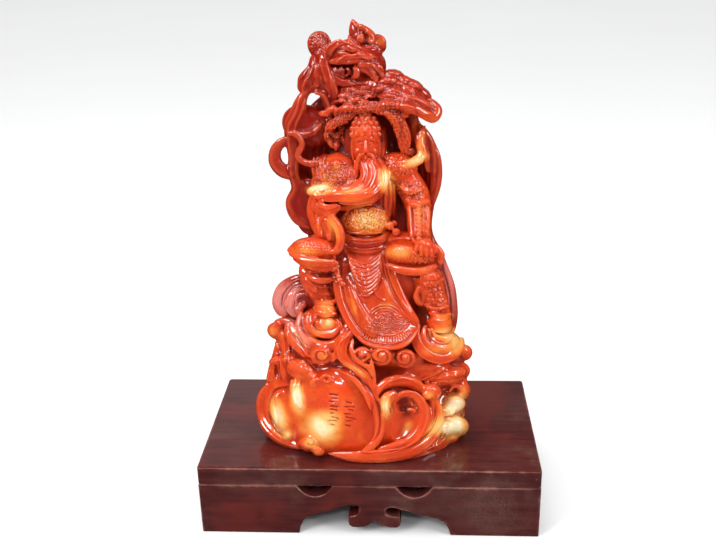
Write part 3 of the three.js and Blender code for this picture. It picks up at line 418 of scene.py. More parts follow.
def clouds():
    # the tall scroll at the left edge
    egg([-45.5, 86.5, 8], [4.4, 4.6, 5], 20)
    curl([-45.2, 86.5, 12], 3, 0.8, 80, 380, [0.9, 1, 0.7])
    band([[-46, 90.5, 8], [-41.5, 91.5, 9], [-35, 90, 12]], [1.6, 2.4, 2], thin=0.8)
    band([[-47, 89, 9], [-42.8, 85, 11], [-41, 77, 13.5], [-41.4, 68, 17], [-42.5, 59, 19]], [2, 2.4, 2.8, 2.8, 2])
    band([[-43, 84, 7], [-45.2, 74, 9.5], [-47.4, 65, 11.5], [-49.5, 57, 12.5]], [2, 2.8, 3.4, 3.2], thin=0.8)
    egg([-46.2, 69.5, 12], [4, 3, 4.4], 15)
    # the boss of cloud under the foot on the left
    egg([-22, 89, 16], [12.5, 10.5, 11], -10, 40, 26)
    band([[-32.5, 97, 19], [-34, 88, 22.6], [-29, 81, 26], [-21, 78.6, 28], [-14, 81.5, 28], [-10.6, 89, 26],
          [-13.5, 96.5, 22]], [1.5, 2.2, 2.5, 2.6, 2.4, 2, 1.4], thin=0.85)
    band([[-29, 97, 22], [-29.6, 90.5, 24.4], [-25.5, 85.6, 26.6], [-18.5, 84.6, 28], [-14.6, 88.5, 27.4],
          [-16, 93, 26.6]], [1.2, 1.9, 2.1, 2.1, 1.9, 1.2])
    band([[-25.5, 96, 24], [-25.6, 91.5, 26], [-22.4, 88.8, 27.4]], [1, 1.8, 1])
    egg([-19.6, 90.6, 26.6], [3.4, 3.2, 3.6])
    band([[-38.5, 92, 14], [-37, 84, 19], [-31.5, 77, 24], [-26, 72.5, 27]], [2.6, 4.6, 4.8, 2.6], thin=0.65)
    # small curls round the middle
    egg([-24, 73, 28.4], [5.6, 5.4, 4.4], 0, 32, 22)
    egg([-23, 72.5, 22], [8, 7, 7])
    band([[-17.4, 79, 28], [-16.6, 74, 30], [-18.6, 69.6, 30.6]], [0.8, 1.5, 0.8])
    for x, u, f, half in ((-3.6, 73.4, 32.4, 4.8), (5.6, 72.8, 32.6, 5.4), (17, 71.8, 29.8, 5.4)):
        egg([x, u, f], [half, half, 4.6], 0, 32, 22)
        egg([x - 0.3, u + 0.2, f + 4], [1.5, 1.4, 1.4], 0, 16, 12)
    curl([-33.5, 67.5, 27.4], 2.4, 0.8, 30, 380, [0.8, 1, 0.7])
    egg([5, 72, 23], [22, 6.4, 9], 0, 40, 20)
    egg([19, 65, 18.6], [21, 7, 9.4], 4, 48, 24)
    band([[0.8, 78, 35], [0.6, 70, 36], [1.8, 63, 36], [2.2, 55, 36]], [0.6, 1, 1, 0.6])
    # the long C in the middle that ends in a point over the boulder
    band([[-6, 87, 28], [-12.6, 81.5, 30], [-13.4, 74, 31.6], [-8.8, 67.6, 33], [-3, 62.6, 34.4], [0.2, 56, 35.4],
          [0.8, 49.6, 36]], [1.5, 3.2, 3.6, 3.4, 2.6, 1.8, 0.8], thin=0.75)
    band([[-8, 82.6, 32], [-9, 76, 34.6], [-6, 70.4, 35.8], [-0.8, 66.2, 36.4], [1.6, 60.6, 36.6]],
         [0.8, 1.3, 1.4, 1.3, 0.7])
    band([[-11, 70, 33.4], [-6.6, 65.2, 35], [-2.4, 60.4, 36]], [0.8, 1.2, 0.7])
    # the bank of cloud under the foot on the right
    egg([33, 79, 16], [11.5, 8.5, 12], 10, 40, 26)
    band([[23.5, 93, 22], [22.6, 84, 26], [26, 75.5, 28.6], [34, 71.4, 27.6], [42, 75, 22.5], [45, 83.5, 14]],
         [1.4, 2.4, 3, 3, 2.8, 1.6], thin=0.8)
    band([[27, 90, 25], [27, 83.5, 27.6], [30.6, 78.4, 29], [37, 77, 27], [42, 81, 21.6]], [1.4, 2, 2.3, 2.3, 1.8],
         thin=0.85)
    band([[29.5, 88.5, 26], [31.4, 83.6, 27.6], [36.6, 82.2, 27], [40.6, 85, 22]], [1.2, 1.9, 1.9, 1.4])
    egg([45.5, 75, 5], [4.4, 4.6, 5])
    band([[45, 71.5, 7], [36, 69, 14], [27, 64.5, 21.5], [22, 59.5, 27]], [3, 4.4, 3.6, 1.8], thin=0.6)


def back_of_the_rock():
    def wave(places, halves):
        band(on_rock(places), halves, flutes=3, deep=0.2, back=True)

    wave([[-52, 12], [-36, 20], [-18, 18], [0, 26], [8, 36]], [2.5, 4, 4, 3.5, 2])
    wave([[-50, 4], [-34, 9], [-12, 8], [10, 16], [24, 30]], [2.5, 4.5, 4.5, 4, 2])
    wave([[-30, 0], [-12, -1], [8, 2], [28, 12], [38, 26]], [2, 4.5, 4.5, 4, 2])
    wave([[46, 2], [40, 10], [30, 34], [18, 44], [4, 46]], [2.5, 5, 5, 5, 3])
    wave([[-48, 24], [-38, 38], [-22, 44], [-12, 52]], [3, 5, 5, 3])
    places = [[-33, 92, -8], [-18, 99, -16], [-1, 94, -20], [16, 100, -16], [31, 90, -9]]
    for i, (x, z, f) in enumerate(places):
        egg(*seen([[x, z, f + 3]]), [10, 8.5, 9])
        at = seen([[x, z - 1, f - 3]])[0]
        curl(at, 6.5, 1.5, 90 * i, 480 if i % 2 else -480, [2.2, 2.2, 1.2], back=True)


# The seated figure
def legs():
    egg([2, 112, 4], [33, 26, 17], 0, 40, 30)
    # the leg on the left: thigh, leaf shaped flap, shin and boot
    band([[-5, 128, 8], [-20, 130, 14], [-29, 126, 17]], [8, 8, 7])
    egg([-25, 128.5, 17], [11.5, 6.6, 9], -4, 40, 26)
    band([[-27, 130.5, 18.5], [-33, 129.8, 19], [-37.8, 128, 19]], [4.4, 3.2, 1])
    band([[-37.4, 127.6, 20], [-31, 124, 24.4], [-24, 122.6, 26.4], [-14, 122, 27]], [1.2, 1.9, 2, 1.6], thin=0.85)
    band([[-35.4, 125, 19], [-30, 121.4, 23], [-23, 119.6, 25], [-14.5, 119.4, 25.4]], [1, 1.7, 1.8, 1.4], thin=0.85)
    band([[-26, 121, 15], [-25.2, 112, 16], [-21.8, 104, 17], [-20, 98, 19]], [7.4, 6.8, 5.4, 5])
    band([[-31.6, 121, 16], [-29.4, 114, 19.4], [-25, 107, 21.4]], [1.6, 2.2, 1.4], thin=0.8)
    band([[-29.5, 116.5, 19.4], [-24, 113.4, 22.6], [-16.5, 113.6, 20.6]], [1, 1.7, 1.2])
    egg([-21.4, 97.5, 22], [6, 4.6, 7.4], -10)
    band([[-26.5, 97.6, 26.4], [-21.8, 94.8, 29.2], [-15.6, 96, 26.6]], [0.8, 1.3, 1])
    band([[-26, 102.4, 22], [-21, 101.2, 24.8], [-15.6, 102.4, 22]], [1, 1.5, 1.1])
    # the leg on the right
    band([[4, 128, 9], [19, 129, 15], [27, 123, 19]], [8.5, 8.5, 7.5])
    egg([20, 126, 17], [12.5, 7.4, 9.5], -10, 40, 26)
    band([[8.6, 121.4, 23.4], [15, 118.4, 26.4], [24, 117.6, 27], [32.6, 120.6, 22.4]], [1.2, 2.1, 2.2, 1.4], thin=0.85)
    band([[31.4, 131, 20], [34, 126, 20.4], [33.6, 121, 21]], [1.4, 2, 1.2])
    band([[27, 118, 17], [29.5, 108, 18], [33, 98, 18], [34.5, 92, 19]], [7.6, 7, 5.6, 5.4])
    egg([29, 114.6, 22.4], [5, 3.4, 3.6], 12)
    band([[22.6, 113.4, 20], [29, 111.4, 25.4], [36, 114, 20.4]], [0.9, 1.3, 0.9])
    band([[24.4, 110, 20.6], [23.4, 104, 20.4], [25.6, 99.6, 20]], [1.3, 2.3, 1])
    band([[26.5, 100.5, 20.4], [32, 98, 24.6], [38.4, 100, 19.6]], [0.9, 1.4, 0.9])
    egg([34, 90.5, 22], [6.4, 5.8, 8], -12)
    band([[27.6, 92.6, 23], [33, 89.4, 28.6], [40, 91, 23]], [1, 1.5, 1])
    band([[28.6, 96.5, 22.6], [33.5, 94.2, 27.2], [39.6, 95.6, 22]], [0.9, 1.4, 0.9])


BELLY = ([-1, 142, 9], [12.5, 9.5, 9.5])


def body():
    egg([0, 150, 1], [15, 27, 12], 0, 40, 30)
    egg([0, 161, 5], [14.5, 10, 9.5], 0, 36, 24)
    egg(*BELLY, 0, 48, 32)
    egg([-1, 130, 9], [12, 7, 9], 0, 32, 20)
    # the armour plate on the belly: a beast mask of curls, cast in low relief
    def low(places, halves):
        band([[x, u, front_of(*BELLY, x, u, 0.15)] for x, u in places], halves, press=0.1)

    def swirl(x, u, outer, start, sweep, wide):
        turns = [math.radians(start + sweep * i / 9) for i in range(10)]
        low([[x + (outer - (outer - 0.6) * i / 9) * math.cos(a), u + (outer - (outer - 0.6) * i / 9) * math.sin(a)]
             for i, a in enumerate(turns)], [wide, wide, wide * 0.7])

    m = BELLY[0][0]
    for side in (-1, 1):
        swirl(m + side * 4.1, 145, 2.6, 90 - 60 * side, -side * 420, 0.62)
        swirl(m + side * 8, 141.2, 1.9, 90 + 40 * side, side * 380, 0.5)
        low([[m + side * 0.8, 146.8], [m + side * 3.6, 148.6], [m + side * 7.4, 147.4], [m + side * 9.4, 144]],
            [0.4, 0.8, 0.8, 0.4])
        low([[m + side * 0.6, 140.2], [m + side * 3.4, 139.2], [m + side * 6, 140.6], [m + side * 6.2, 142.6]],
            [0.5, 0.8, 0.7, 0.3])
        low([[m + side * 1.2, 137.4], [m + side * 4.6, 136.6], [m + side * 8.4, 138.2]], [0.4, 0.7, 0.4])
        for i in range(4):
            x, u = m + side * (5.2 + 1.6 * i), 149 - 1.7 * i
            low([[x, u], [x + side * 0.9, u + 0.9]], [0.45, 0.3])
    low([[-1, 147.4], [-1, 144], [-1, 141.4]], [0.5, 0.8, 1.3])
    # sash and belts
    band([[-12, 137.5, 12], [-7.5, 133.4, 18], [-1, 132, 19.6], [6, 133.4, 18], [10.5, 137.5, 12]],
         [1.4, 2, 2.2, 2, 1.4], thin=0.8)
    band([[-12.4, 133.4, 12], [-7.5, 129.6, 17.6], [-1, 127.8, 19.2], [6, 129.4, 17.6], [10.8, 133, 12]],
         [1.3, 1.8, 1.9, 1.8, 1.3], thin=0.8)
    # strap and hanging ends across the chest
    band([[9.4, 158.5, 13], [2, 152.6, 15.6], [-7, 150, 16.4], [-13, 148.6, 15]], [1.2, 1.6, 1.6, 1.2], thin=0.8)
    egg([8.6, 155, 5], [5, 13, 7.4])
    for x, top, foot, front in ((6.4, 164, 149, 13), (8.4, 164, 145.6, 13.2), (10.3, 163, 143.6, 12.4),
                                (12, 161, 144, 11.2)):
        band([[x, top, front - 1], [x + 0.3, (top + foot) / 2, front], [x + 0.1, foot, front - 1]], [0.9, 1.05, 0.7])
    egg([10.6, 140.4, 15.4], [2, 2.2, 2])
    egg([13.4, 137.4, 17], [2, 1.9, 2])
    egg([12.4, 141.6, 14], [1.6, 1.6, 1.6])


def arms():
    # the arm on the right, down to the hand on the knee
    egg([14, 168, 6], [9.4, 7.4, 8.8], -15, 36, 24)
    band([[16, 165, 7], [21.5, 156, 9], [24, 147, 12]], [6.8, 6.8, 6])
    band([[24, 149, 12], [24, 140, 17.4], [24.8, 133, 22.4]], [6, 5.8, 4.8])
    band([[15.4, 160.4, 12], [19, 156.6, 15.6], [26, 158, 12.6]], [1, 1.5, 1])
    band([[17.6, 153.6, 13], [22, 150.6, 17.4], [29, 152.4, 13]], [1.2, 1.9, 1.2])
    band([[19, 150.6, 16], [20.2, 142, 20], [21.2, 134, 24]], [1, 1.3, 1.1])
    band([[27.6, 150, 14.6], [27.7, 142, 18.6], [27.6, 135, 22.6]], [1, 1.3, 1])
    for i in range(9):
        egg([23.6 + 0.04 * i, 150 - 2 * i, 18.6 + 0.98 * i], [1.5, 1, 1.2], 0, 14, 10)
    band([[20.4, 133.6, 24], [24.5, 132, 26.6], [29.6, 133.8, 23]], [0.8, 1.3, 0.8])
    # the hand, its thumb and fingers
    egg([26.5, 130.5, 22.5], [5.2, 4, 5.5], -25)
    for x, u, f, turn in ((22.8, 129.4, 26.6, -0.8), (25, 128.4, 27.6, -0.2), (27.3, 127.8, 27.4, 0.3),
                          (29.5, 127.8, 26.2, 0.8)):
        band([[x - turn, u + 3, f - 1.2], [x, u, f], [x + turn * 0.5, u - 3, f - 0.9]], [1, 1.15, 0.8], press=0.2)
    band([[29, 132, 24], [31.6, 129.6, 25], [31.2, 126.6, 25]], [1, 1.3, 0.9])
    # the arm on the left, bent to hold the beard
    egg([-13, 167, 7], [10, 8.4, 8.6], 20, 36, 24)
    band([[-13, 167, 9], [-18, 162.5, 12.6], [-22.5, 159, 14.6]], [7.6, 6.6, 4.4])
    egg([-11, 163, 12], [9.6, 6, 6.4], 22, 36, 24)
    egg([-7, 160.6, 15.6], [4.6, 2.6, 3.6], 10)
    egg([-21.6, 157.8, 16.6], [6, 2.9, 4.6], 8)
    band([[-27.4, 157, 17.6], [-22.5, 154.6, 20.6], [-15.6, 155.6, 20.6]], [0.9, 1.5, 1])
    band([[-22, 156.6, 16], [-15, 155.6, 19], [-9, 157.4, 20.6]], [3, 3.6, 3.2])
    egg([-13.4, 169, 14.6], [3, 3.2, 2.8], 30)
    # the short cape over that shoulder, in pleats
    egg([-18, 168, 6.6], [6, 6.6, 6.4])
    for i in range(6):
        x = -23.6 + 1.6 * i
        band([[x + 0.3, 173.6, 7.6 + 0.8 * i], [x - 0.3, 168.6, 9.6 + 0.9 * i], [x - 0.1, 163 + 0.3 * i, 10 + 0.9 * i]],
             [0.5, 0.9, 0.7])
    # the end of the sleeve: a hanging ring of cloth round a smooth hollow
    band([[-24, 155.5, 14], [-24.4, 148, 15], [-22.5, 140, 16.6], [-20.6, 133, 19]], [2.4, 3.6, 3.6, 2.4], thin=0.85)
    egg([-18.6, 139, 16], [5, 9.6, 5], 12)
    band([[-20.6, 150.6, 18], [-16.6, 145.4, 20.6], [-13.2, 138.6, 22], [-12.8, 132, 23], [-15.4, 127.6, 23.6],
          [-19.6, 128, 23], [-21.6, 132.6, 21.6]], [1.4, 2, 2.3, 2.2, 1.9, 1.7, 1.2], thin=0.9)
    band([[-23, 147, 17.6], [-22.6, 141, 19], [-21, 135, 20.6]], [1, 1.5, 1.1])
    egg([-18.6, 138.6, 19.4], [2.6, 6.2, 2.6], 10, 28, 18)
    # the fold at the wrist, where the sleeve turns back
    band([[-12, 150.4, 20.4], [-17, 147.6, 20.6], [-22.4, 149.6, 18.4], [-23.6, 153.6, 18.4], [-20, 155.4, 20]],
         [1.2, 2.6, 2.7, 2.2, 1.3], thin=0.85)
    band([[-19.6, 153.4, 21.4], [-21.4, 151.6, 20.8], [-18.4, 149.8, 22], [-13.4, 150.8, 22.6]],
         [0.7, 1.2, 1.3, 0.8])


def apron():
    sheet([
        [[-12, 130, 10], [-6, 127, 16], [-1, 126, 18], [4, 127, 17], [9, 131, 10]],
        [[-15.5, 119, 16], [-9, 114, 21], [-1, 112, 23], [6, 114, 22], [12, 120, 16]],
        [[-15.5, 106, 20], [-9, 101, 25], [0, 99, 27], [8, 101, 26], [16, 106, 20]],
        [[-12.5, 95, 24], [-6, 89, 28], [4, 85, 31], [13, 87, 30], [21, 95, 23]],
        [[-8.5, 88, 27], [-3, 81, 31], [7, 77.5, 34], [17, 79.5, 32], [24, 88, 25]],
    ], [12, 14, 16, 18, 16], 10)
    # edges and long folds
    band([[-13.2, 127, 15], [-14.6, 115, 18.6], [-13.6, 102, 22.6], [-9.4, 91, 27.2], [-4, 82, 31]],
         [1.6, 2.4, 2.4, 2.2, 1.8], thin=0.75)
    band([[-10.6, 117, 19], [-7.6, 105, 24], [-2.8, 94, 28.4], [2.4, 83, 32.2]], [1.4, 2.4, 2.6, 2.2], thin=0.7)
    band([[9, 130, 12], [10.5, 119, 18.5], [14.5, 107, 22], [19, 97, 24.5], [23.5, 90, 25]], [2, 2.4, 2.4, 2.4, 2],
         thin=0.75)
    band([[-8.5, 88, 28], [-3, 80.6, 32], [7, 77.2, 35], [17, 79, 33], [24, 88, 26.5]], [0.8, 1.1, 1.2, 1.1, 0.8])
    # the braid that hangs beside it
    for i in range(9):
        egg([-16.2 + 0.06 * i * i, 126.5 - 1.9 * i, 20.4 + 0.5 * i], [1.2, 1, 1.2], 20, 14, 10)


# The head
HELMET = ([0, 184.5, 8.6], [7.2, 9.6, 8.8])


def head():
    band([[0, 172, 6], [0, 165, 4]], [6, 8])
    egg([0, 177.2, 9.6], [6.1, 8.8, 7.4], 0, 48, 36)
    egg([0, 171.6, 11.8], [4.2, 4, 4.6], 0, 36, 24)
    # brow, nose, eyes, cheeks and lips
    egg([0, 181, 12], [4.9, 2.2, 4.9], 0, 36, 24)
    band([[0, 181, 16.6], [0, 178.8, 17.5], [0, 176.4, 18.3], [0, 175.2, 18.2]], [0.75, 0.75, 1.15, 0.7], press=0.35)
    for side in (-1, 1):
        egg([side * 0.95, 175.8, 17.3], [0.7, 0.62, 0.9], 0, 16, 12)
        egg([side * 2.5, 178.9, 15.2], [1.55, 0.95, 1.35], -side * 6, 24, 16)
        band([[side * 0.9, 178.7, 16.3], [side * 2.4, 179.6, 16.75], [side * 4.1, 178.9, 15.5]], [0.3, 0.42, 0.3])
        band([[side * 1, 178.4, 16.2], [side * 2.5, 178, 16.5], [side * 4, 178.5, 15.3]], [0.22, 0.32, 0.22])
        band([[side * 0.7, 180.3, 16.7], [side * 2.4, 181.3, 16.9], [side * 4.9, 180.4, 14.8]], [0.35, 0.55, 0.3])
        egg([side * 3.3, 175.9, 14.4], [1.9, 1.8, 1.7], 0, 24, 16)
        egg([side * 6.1, 178, 9], [0.8, 2.1, 1.4], 0, 20, 14)
    band([[-1.9, 173.3, 16.1], [-0.6, 173.8, 17.1], [0, 173.6, 17.2], [0.6, 173.8, 17.1], [1.9, 173.3, 16.1]],
         [0.25, 0.42, 0.38, 0.42, 0.25])
    band([[-1.5, 172.8, 16.2], [0, 172.5, 17], [1.5, 172.8, 16.2]], [0.3, 0.55, 0.3])
    # the helmet: a tapering cap set with rows of bosses, bands below it, a knob, and guards beside the face
    egg(*HELMET, 0, 56, 36)
    for u, places, half in ((186.2, (-6, -4.1, -1.4, 1.4, 4.1, 6), 1.5), (188.5, (-5, -2.6, 0, 2.6, 5), 1.4),
                            (190.6, (-3.9, -1.3, 1.3, 3.9), 1.25), (192.4, (-2, 0, 2), 1.1)):
        for x in places:
            egg([x, u, front_of(*HELMET, x, u, -0.1)], [half * (1 - 0.05 * abs(x)), 1.25, 1.15], 0, 18, 12)
    egg([-0.2, 194.2, 9.6], [2.3, 1.9, 2.8])
    for x in (-5.9, -3.9, -1.35, 1.35, 3.9, 5.9):
        egg([x, 183.6, front_of(*HELMET, x, 183.6, 0.1)], [1.35, 1.2, 1.1], 0, 18, 12)
    for u, wide, front in ((184.9, 7.2, 17.9), (181.9, 6.8, 17.3)):
        band([[-wide, u + 0.9, 8.5], [-0.63 * wide, u + 0.1, front - 2.5], [0, u, front],
              [0.63 * wide, u + 0.1, front - 2.5], [wide, u + 0.9, 8.5]], [0.6, 0.75, 0.85, 0.75, 0.6])
    for side in (-1, 1):
        band([[side * 7, 187, 7], [side * 7.3, 179, 7.6], [side * 6.4, 170.5, 9]], [2, 2.5, 1.9], flutes=5)
        band([[side * 5.9, 182, 12.6], [side * 6.2, 177, 12.2], [side * 5.4, 171, 12.6]], [0.5, 0.7, 0.6])


def beard():
    band([[1, 173, 15], [4, 165, 19], [1, 158.5, 21], [-7, 155.5, 23], [-15, 155, 22], [-21.5, 153.4, 20]],
         [2.6, 3.6, 3.6, 3, 2.3, 1.1], flutes=9)
    band([[-2, 172, 15], [-0.5, 164, 18], [-5, 158.8, 20.4], [-14, 157.4, 21.4]], [2.2, 2.6, 2.2, 1.2], flutes=7)
    band([[5, 173, 13], [7.4, 164, 17], [4.4, 156.5, 20], [-4, 152.6, 22], [-13, 151.6, 22]], [2, 3, 2.8, 2.2, 1],
         flutes=7)
    band([[7, 171, 11], [9.6, 165.4, 14.4], [8.6, 160.4, 16]], [1.4, 1.9, 0.8], flutes=6)
    for shift, lift, wide in ((0, 0, 0.85), (1.3, -1, 0.7), (-1.6, 0.9, 0.75), (2.5, -2, 0.65)):
        band([[2 + shift, 172, 17 - 0.4 * abs(shift)], [5.2 + shift, 163.6, 20.8 - 0.5 * abs(shift)],
              [2.4 + shift, 157.4 + 0.3 * lift, 23.4], [-5.6, 154.6 + lift, 25], [-14, 154.6 + lift, 23.6],
              [-20, 153.4 + 0.5 * lift, 21.4]], [0.5, wide, wide, wide, wide * 0.8, 0.4])
    band([[-4.4, 172, 14.6], [-4.4, 167, 15.6], [-4.9, 162.5, 16.4]], [1.1, 1.5, 0.7], flutes=5)
    # moustache
    for side in (-1, 1):
        band([[side * 0.4, 174.7, 17.7], [side * 2.6, 174, 17.7], [side * 3.9, 171.4, 17.6], [side * 4.3, 166.5, 18.2]],
             [0.5, 0.85, 0.9, 0.35], flutes=4)


# Cloak, scarf and the tail of cloth
def cloak():
    sheet([
        [[-29, 189, 4], [-19, 193, -1], [-3, 201, -2], [12, 201, 0], [20, 196, 3]],
        [[-33, 181, 5], [-21, 182, -3], [0, 184, -5], [17, 184, -3], [26, 185, 3]],
        [[-32, 168, 4], [-22, 166, -4], [0, 164, -6], [20, 166, -4], [31, 168, 3]],
        [[-33, 150, 4], [-24, 148, -3], [0, 148, -6], [20, 148, -4], [28.5, 150, 2]],
        [[-27, 134, 3], [-20, 132, -2], [0, 130, -5], [20, 132, -3], [29, 134, 1]],
        [[-26, 114, 2], [-18, 112, 0], [0, 110, 0], [22, 112, 0], [36.5, 114, 0]],
        [[-28, 92, 0], [-16, 90, 0], [0, 90, 0], [22, 90, 0], [40, 92, -2]],
    ], [4, 12, 17, 20, 20, 20, 16], 4, 60, 72)
    egg([-1, 142, -8], [21, 47, 12.4], 0, 40, 40)
    # rolled edge down the right
    band([[24, 188, 6], [28, 180, 5], [31, 171, 4.4], [31.3, 161, 3.4], [28.6, 150, 2.4], [28, 138, 2.4],
          [32.6, 125, 2.4], [37.4, 112, 1.6], [39.4, 99, 1.4], [40, 85, 3.6]],
         [2, 2.6, 2.8, 2.6, 2.2, 2, 2.6, 3, 3, 2.6], thin=0.85)
    band([[25, 184, 5.4], [27.4, 176, 5], [28, 166, 4]], [1.2, 2, 1.2])
    egg([32, 108, -2], [8, 26, 7], 12, 32, 24)
    # the tail of cloth at the left
    band([[-25, 113, 10], [-33, 112.5, 9.6], [-39.6, 108, 8.6], [-42.6, 101, 8.6], [-41, 94, 11]],
         [1.8, 4, 4.8, 4.2, 2.6], thin=0.6)
    band([[-28, 108.5, 12], [-34.5, 105.5, 12.6], [-37.4, 99.5, 13.4], [-35, 94, 15]], [1.2, 3, 3.4, 2], thin=0.8)
    band([[-30, 101, 15], [-33.4, 98, 16.6], [-33, 93.5, 18.4]], [1.2, 2.2, 1.6])
    egg([-30, 102, 6], [11, 12, 8])


def scarf():
    band([[-27, 203, 5.4], [-29.4, 195, 5.8], [-32.6, 188.5, 6], [-33.4, 182, 6.6], [-32.8, 174, 6.6],
          [-33, 166, 5.8], [-31.8, 158.5, 5], [-34.6, 151.5, 5], [-32.4, 144.5, 6], [-26, 139, 8]],
         [2.4, 3.4, 3.6, 2.8, 2.4, 2.6, 2.8, 3, 3, 2], thin=0.6)
    egg([-26, 187.6, 0.4], [11.4, 9.4, 5], -25, 40, 24)
    band([[-33, 187, 4.6], [-29, 183.4, 7.4], [-24, 184.4, 7], [-19, 189, 5.4]], [0.8, 1.7, 1.5, 0.8], thin=0.8)
    band([[-32.6, 180.5, 6.6], [-36.8, 180.4, 6.6], [-40.4, 177, 6.2], [-41, 171.4, 6.2], [-38, 167.2, 6],
          [-32.6, 164.6, 6]], [1.8, 2.2, 2.6, 3.2, 3.4, 2.6], thin=0.75)
    band([[-35, 184.5, 9.4], [-31, 184, 10.4], [-28.6, 179.5, 10.6], [-30.6, 173.6, 10.4], [-26.6, 170.6, 10.4],
          [-19, 171, 10.4]], [0.9, 1.5, 1.5, 1.5, 1.7, 1.3])
    band([[-29, 163, 4.6], [-30.5, 153, 4.6], [-27.5, 145.5, 5.6], [-22.5, 140, 8]], [1.6, 2.4, 2.4, 2], thin=0.8)
    egg([-27, 150, 2], [7, 14, 4], 0)
    # the loop round the upper hole
    band([[-14, 187, 4], [-14.6, 197, 5.6], [-18.6, 204, 6], [-24.6, 204, 5.4], [-27.4, 198.4, 5],
          [-26.4, 191, 4.6], [-20, 188, 3.4]], [3, 3.6, 3.2, 2.2, 1.8, 2.6, 3], thin=0.65)
    band([[-22.4, 202.6, 7.4], [-18, 201, 8], [-15.6, 195, 7.6], [-15.4, 188, 6]], [0.8, 1.1, 1.1, 0.7])
    # the end that flies up on the right
    band([[15, 170.5, 13], [21, 170.4, 12.4], [25.2, 174.6, 10.6], [23.8, 181, 9.4], [26.6, 187.4, 7.4]],
         [1.3, 2.2, 2.1, 1.5, 0.9], thin=0.8)
    egg([19.4, 175.6, 7], [2.2, 2, 2.4])


def back_of_the_cloak():
    folds = [[-29, 13.5, 3], [-21, 18.6, 4], [-12, 21.4, 3], [-3, 23.6, 4], [7, 22.4, 3], [16, 20.6, 4], [25, 15.8, 3]]
    falls = [[0.75, 186, 0.6], [0.95, 168, 0.9], [1, 148, 1.02], [0.92, 130, 1.06], [1.1, 98, 0.9]]
    for x, depth, full in folds:
        band(seen([[x * wide, z, -depth * deep] for wide, z, deep in falls]), [1.5, full, 3.5, full, 2], flutes=3,
             deep=0.1, back=True)
    band(seen([[-30, 184, -3], [-20, 195, -6], [-6, 200, -7], [10, 200, -6], [21, 191, -4]]), [2.4, 4, 4.5, 4, 2.4],
         flutes=4, back=True)


# Pine and dragon
def tuft_model():
    """A fan of needles: a plump lens with a ridge along it and its rim drawn into flutes."""
    bpy.ops.mesh.primitive_uv_sphere_add(segments=72, ring_count=18, radius=1)
    thing = bpy.context.object
    p = corners(thing)
    flute = np.abs(np.sin(6.5 * np.arctan2(p[:, 1], p[:, 0]))) ** 0.7
    reach = np.hypot(p[:, 0], p[:, 1])
    p[:, :2] *= (1 + 0.1 * (flute - 0.7) * reach)[:, None]
    p[:, 2] *= 1 + 0.35 * (flute - 0.6) * reach * (1 - reach)
    p[:, 1] -= 0.3 * p[:, 0] ** 2
    put_corners(thing, p * (4.3, 1.9, 3.6))
    return thing


